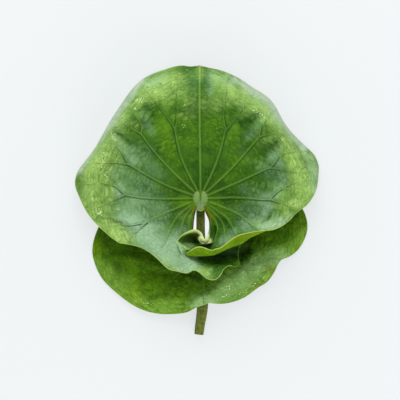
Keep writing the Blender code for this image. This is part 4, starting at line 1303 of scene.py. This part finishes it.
def make_lower_blade():
    depths, strides = mesh_rows(LOWER_ROWS)
    stations = spread_stations(lower_sheet, LOWER_STATIONS[-1][0], LOWER_STATIONS[0][0], LOWER_COLUMNS)
    sheet = lower_sheet(depths, stations)
    plain_sheet = sheet.copy()
    sheet[:, :, 2] += brushed(sheet, LOWER_SWELLINGS)
    blade = Blade(sheet, strides, stations, LOWER_LIP[::-1])
    blade.add_veins(lower_veins(), plain_sheet)
    zones = brushed_marks(sheet, LOWER_ZONES, edge_wander(sheet, 13.0))
    blade.add_cushions(across=2.2, outward=5.5, height=0.7, seed=7.5, bloom_and_reflection=zones["bloom_and_reflection"])
    blade.marks.update(zones)
    blade.marks["rim"] = 0.5 * np.exp(-blade.to_margin / 0.6)
    blade.marks["red"] = read_off(LOWER_RIM_RED, blade.station)
    blade.marks["slit"] = 0.5 * np.exp(-blade.to_slit / 0.8)
    directions = [row[1] for row in LOWER_STATIONS[1:-1]]
    pad = Pad(LOWER_PAD_CENTRE, directions, lower_pad_rise, lower_pad_marks)
    materials = [
        face_material("lower_blade_face", LOWER_COLOURS, YELLOW_GREEN_SHINE),
        underside_material("lower_blade_underside", YELLOW_GREEN_SHINE),
    ]
    return blade.build("lotus_lower_blade", pad, materials)


# Materials

UPPER_COLOURS = {
    "deep": (0.024, 0.098, 0.006), "middle": (0.07, 0.19, 0.008), "fresh": (0.135, 0.295, 0.004),
    "light": (0.32, 0.49, 0.13), "bloom_and_reflection": (0.262, 0.42, 0.26), "sheen": (0.32, 0.4, 0.33),
    "vein": (0.14, 0.31, 0.035),
}
LOWER_COLOURS = {
    "deep": (0.03, 0.088, 0.0005), "middle": (0.075, 0.18, 0.004), "fresh": (0.17, 0.31, 0.006),
    "light": (0.2, 0.36, 0.05), "bloom_and_reflection": (0.215, 0.37, 0.135), "sheen": (0.3, 0.4, 0.2),
    "vein": (0.1, 0.22, 0.02),
}
# The colour of painted shade: beside the ribs, in hollows and under overlapping parts.
PAINTED_SHADE_GREEN = (0.0045, 0.023, 0.0015)
CREASE_SHADE_TINT = (0.3, 0.42, 0.25)
BROWN = (0.12, 0.075, 0.006)
PALE_RIM = (0.36, 0.52, 0.11)
RED_RIM = (0.26, 0.17, 0.12)
SLIT_RED = (0.07, 0.028, 0.01)
AMBER = (0.27, 0.24, 0.004)
CREAM = (0.55, 0.63, 0.27)
PAD_GREEN = (0.185, 0.31, 0.085)
STUB_GREEN = (0.19, 0.27, 0.13)
SPECK_CREAM = (0.78, 0.85, 0.42)
UPPER_SHINE = (1.0, 1.0, 0.8)
YELLOW_GREEN_SHINE = (0.9, 1.0, 0.2)
GLOW_GREEN = (0.25, 0.45, 0.01)
SPECK_BRIGHTENING = (1.55, 1.45, 1.3)
# The underside's strong yellow-green is partly its own colour and partly painted light shining through the
# blade.
UNDERSIDE_COLOURS = {
    "deep": (0.062, 0.142, 0.0002), "middle": (0.108, 0.2, 0.0004), "shade": (0.45, 0.55, 0.5),
    "vein": (0.22, 0.36, 0.03), "brown": (0.2, 0.15, 0.004), "fleck": (0.05, 0.05, 0.004),
}
STEM_COLOURS = {
    "deep": (0.036, 0.05, 0.004), "middle": (0.1, 0.125, 0.016), "blotch": (0.13, 0.155, 0.03),
    "dot": (0.03, 0.035, 0.004), "wart": (0.035, 0.034, 0.006), "cut": (0.3, 0.36, 0.13),
    "canal": (0.03, 0.04, 0.01),
}


def new_material(name):
    material = bpy.data.materials.new(name)
    material.use_nodes = True
    tree = material.node_tree
    tree.nodes.clear()
    return material, tree


def new_node(tree, kind, inputs=None, **settings):
    """A node. An input is given by name or number, as a value or as the socket that feeds it."""
    made = tree.nodes.new(kind)
    for name, value in settings.items():
        setattr(made, name, value)
    for key, value in (inputs or {}).items():
        if isinstance(value, bpy.types.NodeSocket):
            tree.links.new(value, made.inputs[key])
        else:
            made.inputs[key].default_value = value
    return made


def add_node(tree, kind, inputs=None, **settings):
    """A shader node."""
    return new_node(tree, "ShaderNode" + kind, inputs, **settings)


def mark(tree, name):
    """The value of one of the marks that are painted on the mesh."""
    return add_node(tree, "Attribute", attribute_name=name).outputs["Fac"]


def math_of(tree, operation, first, second=0.0, clamp=False):
    return add_node(tree, "Math", {0: first, 1: second}, operation=operation, use_clamp=clamp).outputs[0]


def times(tree, value, factor):
    return math_of(tree, "MULTIPLY", value, factor)


def vector_of(tree, operation, inputs):
    return add_node(tree, "VectorMath", inputs, operation=operation).outputs[0]


def ranged(tree, value, low, high, to_low=0.0, to_high=1.0):
    """The value, moved smoothly from one range to another and held at its ends."""
    inputs = {"Value": value, "From Min": low, "From Max": high, "To Min": to_low, "To Max": to_high}
    return add_node(tree, "MapRange", inputs, interpolation_type="SMOOTHSTEP").outputs["Result"]


def mixed(tree, share, first, second, blend="MIX"):
    """A share of the second colour over the first. A colour is a value or the socket that feeds it."""
    made = add_node(tree, "Mix", {0: share}, data_type="RGBA", blend_type=blend)
    for index, value in ((6, first), (7, second)):
        if isinstance(value, bpy.types.NodeSocket):
            tree.links.new(value, made.inputs[index])
        else:
            made.inputs[index].default_value = (*value, 1.0)
    return made.outputs[2]


def grain(tree, vector, scale, detail=3.0, roughness=0.55):
    inputs = {"Vector": vector, "Scale": scale, "Detail": detail, "Roughness": roughness}
    return add_node(tree, "TexNoise", inputs).outputs["Fac"]


def millimetres(tree):
    """The point's place on the leaf in millimetres."""
    return vector_of(tree, "SCALE", {0: add_node(tree, "TexCoord").outputs["Object"], "Scale": 1 / MM})


def vein_net(tree, place, across, outward, waviness):
    """Distance to the lines of a net of small veins that is wider across the ribs than along them."""
    along = add_node(tree, "UVMap", uv_map="along").outputs[0]
    stretched = vector_of(tree, "MULTIPLY", {0: along, 1: (across, outward, 1.0)})
    bend = add_node(tree, "TexNoise", {"Vector": place, "Scale": 0.12, "Detail": 3.0}).outputs["Color"]
    shift = vector_of(tree, "SCALE", {0: bend, "Scale": waviness})
    moved = vector_of(tree, "ADD", {0: stretched, 1: shift})
    settings = {"voronoi_dimensions": "2D", "feature": "DISTANCE_TO_EDGE"}
    return add_node(tree, "TexVoronoi", {"Vector": moved, "Scale": 1.0}, **settings).outputs["Distance"]


def cell_distance(tree, place, scale):
    """Distance to the nearest of many points scattered in space."""
    return add_node(tree, "TexVoronoi", {"Vector": place, "Scale": scale}).outputs["Distance"]


def zone(tree, name, mottle, least, most):
    """How strong a brushed zone is, with a mottled edge."""
    strength = ranged(tree, mottle, 0.0, 1.0, least, most)
    return math_of(tree, "MULTIPLY", mark(tree, name), strength, clamp=True)


def leaf_shader(tree, colour, roughness, height, bump_distance, shine):
    """Waxy leaf tissue that lets a little light through."""
    bump = add_node(tree, "Bump", {"Height": height, "Distance": bump_distance, "Strength": 1.0}).outputs[0]
    skin = add_node(tree, "BsdfPrincipled", {
        "Base Color": colour, "Roughness": roughness, "Normal": bump,
        "Specular IOR Level": 0.1, "Specular Tint": (*shine, 1.0),
    })
    glow = mixed(tree, 0.5, colour, GLOW_GREEN)
    through = add_node(tree, "BsdfTranslucent", {"Color": glow, "Normal": bump})
    both = add_node(tree, "MixShader", {0: 0.12, 1: skin.outputs[0], 2: through.outputs[0]})
    add_node(tree, "OutputMaterial", {"Surface": both.outputs[0]})


def rimmed(tree, colour):
    """The colour with the margin's own colour over it, pale green or red-brown."""
    rim_colour = mixed(tree, mark(tree, "red"), PALE_RIM, RED_RIM)
    return mixed(tree, ranged(tree, mark(tree, "rim"), 0.15, 0.8, 0.0, 0.85), colour, rim_colour)


def slit_and_corner(tree, colour):
    """The colour with the red edge of the slit and the cream-coloured corner over it."""
    colour = mixed(tree, mark(tree, "slit"), colour, SLIT_RED)
    return mixed(tree, times(tree, mark(tree, "cream"), 0.9), colour, CREAM)


def creased(tree, colour, line, fine_line, flecks):
    """The colour, with shade painted into the sunken creases and fine veins, but less of it under the bloom
    and the sheen.
    """
    lines = math_of(tree, "ADD", times(tree, mark(tree, "crease_shade"), 0.75), times(tree, line, 0.35))
    lines = math_of(tree, "ADD", lines, times(tree, fine_line, 0.18))
    lines = math_of(tree, "MULTIPLY", lines, ranged(tree, flecks, 0.0, 1.0, 0.55, 1.15), clamp=True)
    bloom_or_sheen = math_of(tree, "MAXIMUM", mark(tree, "sheen"), times(tree, mark(tree, "bloom_and_reflection"), 0.75))
    lines = times(tree, lines, ranged(tree, bloom_or_sheen, 0.0, 1.0, 1.0, 0.3))
    return mixed(tree, lines, colour, mixed(tree, 1.0, colour, CREASE_SHADE_TINT, "MULTIPLY"))


def face_material(name, colours, shine):
    """The upper face: mottled waxy green with creases, bloom, pale ribs and coloured edges, with painted
    light and
    shade: shade beside the ribs, in the creases and hollows, a sheen, and part of the light, bloom and deep
    zones.
    """
    material, tree = new_material(name)
    place = millimetres(tree)
    blotches = ranged(tree, grain(tree, place, 0.055, 4.0, 0.6), 0.3, 0.7)
    flecks = ranged(tree, grain(tree, place, 0.22, 4.0, 0.6), 0.3, 0.7)
    specks = ranged(tree, grain(tree, place, 0.55, 3.0, 0.6), 0.35, 0.65)
    line = ranged(tree, vein_net(tree, place, 4.0, 2.3, 0.7), 0.0, 0.16, 1.0, 0.0)
    fine_line = ranged(tree, vein_net(tree, place, 9.0, 5.0, 0.9), 0.0, 0.2, 1.0, 0.0)

    # The tissue, zone over zone: the light and bloom zones are partly painted light, the sheen is painted
    # sheen and the deep zones are partly painted shade.
    colour = mixed(tree, blotches, colours["deep"], colours["middle"])
    for zone_name, mottle, least, most in (
        ("fresh", flecks, 0.35, 1.1), ("light", flecks, 0.7, 1.08), ("bloom_and_reflection", flecks, 0.86, 1.03),
        ("sheen", blotches, 0.8, 1.05), ("deep", flecks, 0.5, 0.95),
    ):
        colour = mixed(tree, zone(tree, zone_name, mottle, least, most), colour, colours[zone_name])
    brighter = mixed(tree, 1.0, colour, SPECK_BRIGHTENING, "MULTIPLY")
    colour = mixed(tree, times(tree, specks, 0.45), colour, brighter)
    colour = creased(tree, colour, line, fine_line, flecks)

    # The ribs with the shade painted beside them, the shade painted into the deep hollows, and the pad.
    colour = mixed(tree, times(tree, mark(tree, "dark"), 0.85), colour, PAINTED_SHADE_GREEN)
    colour = mixed(tree, times(tree, mark(tree, "pale"), 0.8), colour, colours["vein"])
    colour = mixed(tree, ranged(tree, mark(tree, "painted_shade"), 0.05, 0.95, 0.0, 0.92), colour, PAINTED_SHADE_GREEN)
    colour = mixed(tree, zone(tree, "brown", flecks, 0.5, 0.9), colour, BROWN)
    colour = mixed(tree, zone(tree, "pad", specks, 0.85, 1.05), colour, PAD_GREEN)
    colour = mixed(tree, mark(tree, "stub"), colour, STUB_GREEN)

    # Pale specks, and the edges.
    speck_radius = times(tree, mark(tree, "speck"), 0.34)
    is_speck = math_of(tree, "LESS_THAN", cell_distance(tree, place, 0.6), speck_radius)
    colour = mixed(tree, times(tree, is_speck, 0.9), colour, SPECK_CREAM)
    colour = rimmed(tree, colour)
    colour = mixed(tree, mark(tree, "amber"), colour, AMBER)
    colour = slit_and_corner(tree, colour)
    colour = mixed(tree, mark(tree, "lip"), colour, PALE_RIM)

    height = math_of(tree, "ADD", times(tree, line, -0.7), times(tree, fine_line, -0.35))
    height = math_of(tree, "ADD", height, times(tree, flecks, 0.6))
    leaf_shader(tree, colour, ranged(tree, flecks, 0.0, 1.0, 0.4, 0.55), height, 0.00045, shine)
    return material


def underside_material(name, shine):
    """The underside: yellow-green, partly painted light shining through, with ribs that stand out, brown
    flecks and streaks along the ribs.
    """
    material, tree = new_material(name)
    place = millimetres(tree)
    blotches = ranged(tree, grain(tree, place, 0.14, 4.0, 0.6), 0.3, 0.7)
    flecks = grain(tree, place, 0.6, 4.0, 0.7)
    line = ranged(tree, vein_net(tree, place, 9.0, 1.6, 1.2), 0.0, 0.15, 1.0, 0.0)
    colours = UNDERSIDE_COLOURS
    colour = mixed(tree, blotches, colours["deep"], colours["middle"])
    darker = mixed(tree, 1.0, colour, colours["shade"], "MULTIPLY")
    for share, over in (
        (times(tree, line, 0.35), darker), (times(tree, mark(tree, "deep"), 0.8), darker),
        (times(tree, mark(tree, "pale"), 0.5), colours["vein"]),
        (times(tree, mark(tree, "brown"), 0.75), colours["brown"]),
        (ranged(tree, flecks, 0.68, 0.74, 0.0, 0.6), colours["fleck"]),
    ):
        colour = mixed(tree, share, colour, over)
    colour = slit_and_corner(tree, rimmed(tree, colour))
    height = math_of(tree, "ADD", times(tree, line, -0.6), times(tree, flecks, 0.4))
    leaf_shader(tree, colour, ranged(tree, flecks, 0.3, 0.7, 0.5, 0.65), height, 0.0003, shine)
    return material


def stem_material():
    """Olive green, streaked lengthwise and blotched, with dark warts and a pale cut end with shade painted
    in its canals.
    """
    material, tree = new_material("stem_skin")
    place = millimetres(tree)
    lengthwise = vector_of(tree, "MULTIPLY", {0: place, 1: (1.0, 0.07, 1.0)})
    streaks = ranged(tree, grain(tree, lengthwise, 0.55, 3.0, 0.6), 0.35, 0.65)
    blotches = ranged(tree, grain(tree, place, 0.3, 4.0, 0.65), 0.38, 0.62)
    dots = ranged(tree, cell_distance(tree, place, 0.8), 0.1, 0.26, 0.7, 0.0)
    colour = mixed(tree, streaks, STEM_COLOURS["deep"], STEM_COLOURS["middle"])
    for share, over in (
        (times(tree, blotches, 0.55), "blotch"), (dots, "dot"),
        (times(tree, mark(tree, "brown"), 0.85), "wart"), (times(tree, mark(tree, "cream"), 0.85), "cut"),
        (mark(tree, "painted_shade"), "canal"),
    ):
        colour = mixed(tree, share, colour, STEM_COLOURS[over])
    height = math_of(tree, "ADD", streaks, times(tree, blotches, 1.5))
    bump = add_node(tree, "Bump", {"Height": height, "Distance": 0.0003}).outputs[0]
    skin = add_node(tree, "BsdfPrincipled", {
        "Base Color": colour, "Roughness": 0.55, "Normal": bump,
        "Specular IOR Level": 0.15, "Specular Tint": (1.0, 0.95, 0.5, 1.0),
    })
    add_node(tree, "OutputMaterial", {"Surface": skin.outputs[0]})
    return material


# The stem

def canal_share(across, upward):
    """How far places on the cut end lie inside the stalk's air canals, from 0 to 1."""
    circles = list(STEM_CANALS)
    for k in range(SMALL_CANALS):
        turn = 2 * math.pi * (k + 0.5) / SMALL_CANALS
        place = SMALL_CANAL_REACH * math.cos(turn), SMALL_CANAL_REACH * math.sin(turn)
        circles.append((*place, SMALL_CANAL_RADIUS))
    inside = [(radius - np.hypot(across - x, upward - y)) / CANAL_WALL for x, y, radius in circles]
    return np.clip(np.max(inside, axis=0), 0, 1)


def add_stem_end(skin, ring, points, heading, canals, flipped):
    """Closes one end of the stalk with rings of faces, sunk where there are canals."""
    centre = points.mean(axis=0)
    side = (points[0] - centre) / np.linalg.norm(points[0] - centre)
    upward = np.cross(heading, side)
    for share in np.append(STEM_END_RIM, np.linspace(STEM_END_FIRST_ROW, 0.0, STEM_END_ROWS)):
        inner = centre + (points - centre) * share
        if share == 0:
            inner = inner[:1]
        sunk = canals * canal_share((inner - centre) @ side, (inner - centre) @ upward)
        inner = inner - heading * CANAL_DEPTH * sunk[:, None]
        # The canals are painted dark with shade.
        ids = skin.add_points(inner, np.zeros((len(inner), 2)), {"cream": canals, "painted_shade": sunk})
        if share == 0:
            skin.fan(ids[0], ring, 0, flipped)
        else:
            skin.strip(ids, ring, 0, flipped, closed=True)
        ring = ids


def stalk():
    """The stalk itself: finely fluted and a little lumpy, with closed ends."""
    table = np.array(STEM, float)
    length = np.concatenate([[0], np.cumsum(np.linalg.norm(np.diff(table[:, :3], axis=0), axis=1))])
    places = np.linspace(0, length[-1], STEM_RINGS)
    path = spline_weights(length, places) @ table
    a_little = 0.05
    ahead = spline_weights(length, places + a_little) @ table[:, :3]
    behind = spline_weights(length, places - a_little) @ table[:, :3]
    heading = ahead - behind
    heading /= np.linalg.norm(heading, axis=1)[:, None]
    across = np.array([1.0, 0.0, 0.0])
    turn = np.linspace(0, 2 * math.pi, STEM_SIDES, endpoint=False)[:, None]
    rings = []
    for (x, y, z, radius), along in zip(path, heading):
        side = across - along * (across @ along)
        side /= np.linalg.norm(side)
        other = np.cross(along, side)
        flute = 1 + FLUTE_DEPTH * np.cos(FLUTES * turn + FLUTE_TWIST * y)
        ring = radius * flute * (np.cos(turn) * side + np.sin(turn) * other) + (x, y, z)
        lump = LUMP_DEPTH * sway(ring[None], LUMP_SIZE, 2.0)[0][:, None]
        rings.append(ring + (ring - (x, y, z)) * lump)
    skin = Skin()
    spots = brushed_marks(np.array(rings), {"brown": STEM_SPOTS})["brown"]
    no_along = np.zeros((STEM_SIDES, 2))
    ids = [skin.add_points(ring, no_along, {"brown": spot}) for ring, spot in zip(rings, spots)]
    for ring, following in zip(ids, ids[1:]):
        skin.strip(ring, following, 0, flipped=True, closed=True)
    add_stem_end(skin, ids[0], rings[0], heading[0], 0.0, True)
    add_stem_end(skin, ids[-1], rings[-1], heading[-1], 1.0, False)
    return skin.to_object("lotus_stem", [stem_material()])


def wart_tree():
    """A node tree that scatters low dark warts over a mesh, but not over its cut end."""
    tree = bpy.data.node_groups.new("warts_on_the_stem", "GeometryNodeTree")
    entries = {
        "Geometry": "Geometry", "Warts per Square Metre": "Float", "Wart Radius": "Float", "Seed": "Int",
        "Material": "Material",
    }
    for name, kind in entries.items():
        tree.interface.new_socket(name, in_out="INPUT", socket_type="NodeSocket" + kind)
    tree.interface.new_socket("Geometry", in_out="OUTPUT", socket_type="NodeSocketGeometry")
    given = new_node(tree, "NodeGroupInput").outputs

    cut_end = new_node(tree, "GeometryNodeInputNamedAttribute", {"Name": "cream"}, data_type="FLOAT")
    compared = {"A": cut_end.outputs["Attribute"], "B": 0.5}
    elsewhere = new_node(tree, "FunctionNodeCompare", compared, data_type="FLOAT", operation="LESS_THAN")
    points = new_node(tree, "GeometryNodeDistributePointsOnFaces", {
        "Mesh": given["Geometry"], "Selection": elsewhere.outputs["Result"],
        "Density": given["Warts per Square Metre"], "Seed": given["Seed"],
    })
    ball = new_node(tree, "GeometryNodeMeshIcoSphere", {"Radius": given["Wart Radius"], "Subdivisions": 1})
    flattened = {"Geometry": ball.outputs["Mesh"], "Scale": (1.0, 1.0, WART_FLATNESS)}
    flat = new_node(tree, "GeometryNodeTransform", flattened)
    darkened = {"Geometry": flat.outputs["Geometry"], "Name": "brown", "Value": 1.0}
    dark = new_node(tree, "GeometryNodeStoreNamedAttribute", darkened, data_type="FLOAT", domain="POINT")
    least, most = WART_SIZES
    sizes = new_node(
        tree, "FunctionNodeRandomValue", {2: least, 3: most, "Seed": given["Seed"]}, data_type="FLOAT"
    )
    warts = new_node(tree, "GeometryNodeInstanceOnPoints", {
        "Points": points.outputs["Points"], "Instance": dark.outputs["Geometry"],
        "Rotation": points.outputs["Rotation"], "Scale": sizes.outputs[1],
    })
    both = new_node(tree, "GeometryNodeJoinGeometry", {"Geometry": warts.outputs["Instances"]})
    tree.links.new(given["Geometry"], both.inputs["Geometry"])
    realized = new_node(tree, "GeometryNodeRealizeInstances", {"Geometry": both.outputs["Geometry"]})
    skinned = {"Geometry": realized.outputs["Geometry"], "Material": given["Material"]}
    painted = new_node(tree, "GeometryNodeSetMaterial", skinned)
    new_node(tree, "NodeGroupOutput", {"Geometry": painted.outputs["Geometry"]})
    return tree


def make_stem():
    """The stalk with its warts, as one plain mesh."""
    stem = stalk()
    tree = wart_tree()
    modifier = stem.modifiers.new("warts", "NODES")
    modifier.node_group = tree
    values = {
        "Warts per Square Metre": WARTS_PER_SQUARE_METRE, "Wart Radius": WART_RADIUS * MM, "Seed": WART_SEED,
        "Material": stem.data.materials[0],
    }
    for socket in tree.interface.items_tree:
        if socket.in_out == "INPUT" and socket.name in values:
            modifier[socket.identifier] = values[socket.name]
    evaluated = stem.evaluated_get(bpy.context.evaluated_depsgraph_get())
    mesh = bpy.data.meshes.new_from_object(evaluated)
    stem.modifiers.remove(modifier)
    stem.data = mesh
    mesh.name = "lotus_stem"
    mesh.shade_smooth()
    return stem


# The studio

FLOOR_REACH = 3.0
FLOOR_COLOUR = (0.17, 0.175, 0.176, 1.0)
FLOOR_GLOW = (0.955, 0.99, 1.0, 1.0)
FLOOR_GLOW_STRENGTH = 0.655

# Each lamp's name, place and what it points at in metres, its size, power and colour.
LAMPS = (
    ("key", (-0.1, 1.7, 1.15), (0, 0, 0.02), 1.4, 37.5, (1.0, 0.99, 0.97)),
    ("fill", (0.4, -1.8, 0.75), (0, 0, 0.02), 1.4, 30.0, (0.98, 0.99, 1.0)),
    ("light_under_the_slit", (0.003, -0.025, 0.012), (0.003, -0.025, 0), 0.03, 0.0065, (1.0, 1.0, 1.0)),
)

# The sky's colour, and its strength at the horizon and above the given height.
SKY_COLOUR = (0.95, 0.985, 1.0, 1.0)
SKY_AT_HORIZON = 3.3
SKY_OVERHEAD = 0.45
SKY_DIM_FROM = 0.75


def make_floor():
    """A pale floor that glows a little, as on a light table, so that shadows stay faint."""
    reach = FLOOR_REACH
    mesh = bpy.data.meshes.new("floor")
    corners = [(-reach, -reach, 0), (reach, -reach, 0), (reach, reach, 0), (-reach, reach, 0)]
    mesh.from_pydata(corners, [], [(0, 1, 2, 3)])
    floor = bpy.data.objects.new("floor", mesh)
    bpy.context.scene.collection.objects.link(floor)
    material, tree = new_material("floor")
    skin = add_node(tree, "BsdfPrincipled", {
        "Base Color": FLOOR_COLOUR, "Roughness": 0.9, "Specular IOR Level": 0.0,
        "Emission Color": FLOOR_GLOW, "Emission Strength": FLOOR_GLOW_STRENGTH,
    })
    add_node(tree, "OutputMaterial", {"Surface": skin.outputs[0]})
    mesh.materials.append(material)


def make_light(name, place, target, size, watts, colour):
    light = bpy.data.lights.new(name, "AREA")
    light.shape = "SQUARE"
    light.size = size
    light.energy = watts
    light.color = colour
    obj = bpy.data.objects.new(name, light)
    obj.location = place
    obj.rotation_euler = (Vector(target) - Vector(place)).to_track_quat("-Z", "Y").to_euler()
    bpy.context.scene.collection.objects.link(obj)


def make_sky():
    """Even studio light that is brighter near the horizon than overhead."""
    world = bpy.data.worlds.new("studio")
    bpy.context.scene.world = world
    world.use_nodes = True
    tree = world.node_tree
    tree.nodes.clear()
    direction = add_node(tree, "TexCoord").outputs["Generated"]
    up = add_node(tree, "SeparateXYZ", {0: direction}).outputs["Z"]
    strength = ranged(tree, up, 0.0, SKY_DIM_FROM, SKY_AT_HORIZON, SKY_OVERHEAD)
    sky = add_node(tree, "Background", {"Color": SKY_COLOUR, "Strength": strength})
    add_node(tree, "OutputWorld", {"Surface": sky.outputs[0]})


def make_camera():
    camera = bpy.data.cameras.new("camera")
    camera.sensor_width = SENSOR_WIDTH
    camera.lens = SENSOR_WIDTH * CAMERA_DISTANCE / VIEW_WIDTH
    camera.clip_end = CAMERA_CLIP_END
    obj = bpy.data.objects.new("camera", camera)
    place = (*VIEW_CENTRE, VIEW_PLANE_HEIGHT + CAMERA_DISTANCE)
    obj.location = [(value + offset) * MM for value, offset in zip(place, PLACE)]
    bpy.context.scene.collection.objects.link(obj)
    bpy.context.scene.camera = obj


def main():
    make_camera()
    make_sky()
    make_floor()
    for lamp in LAMPS:
        make_light(*lamp)
    bpy.context.scene.view_settings.view_transform = "Standard"
    pieces = (
        (make_upper_blade(), "upper_blade"),
        (make_lower_blade(), "lower_blade"),
        (make_stem(), "stem"),
    )
    for piece, node in pieces:
        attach(piece, "root")
        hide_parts(node)


main()
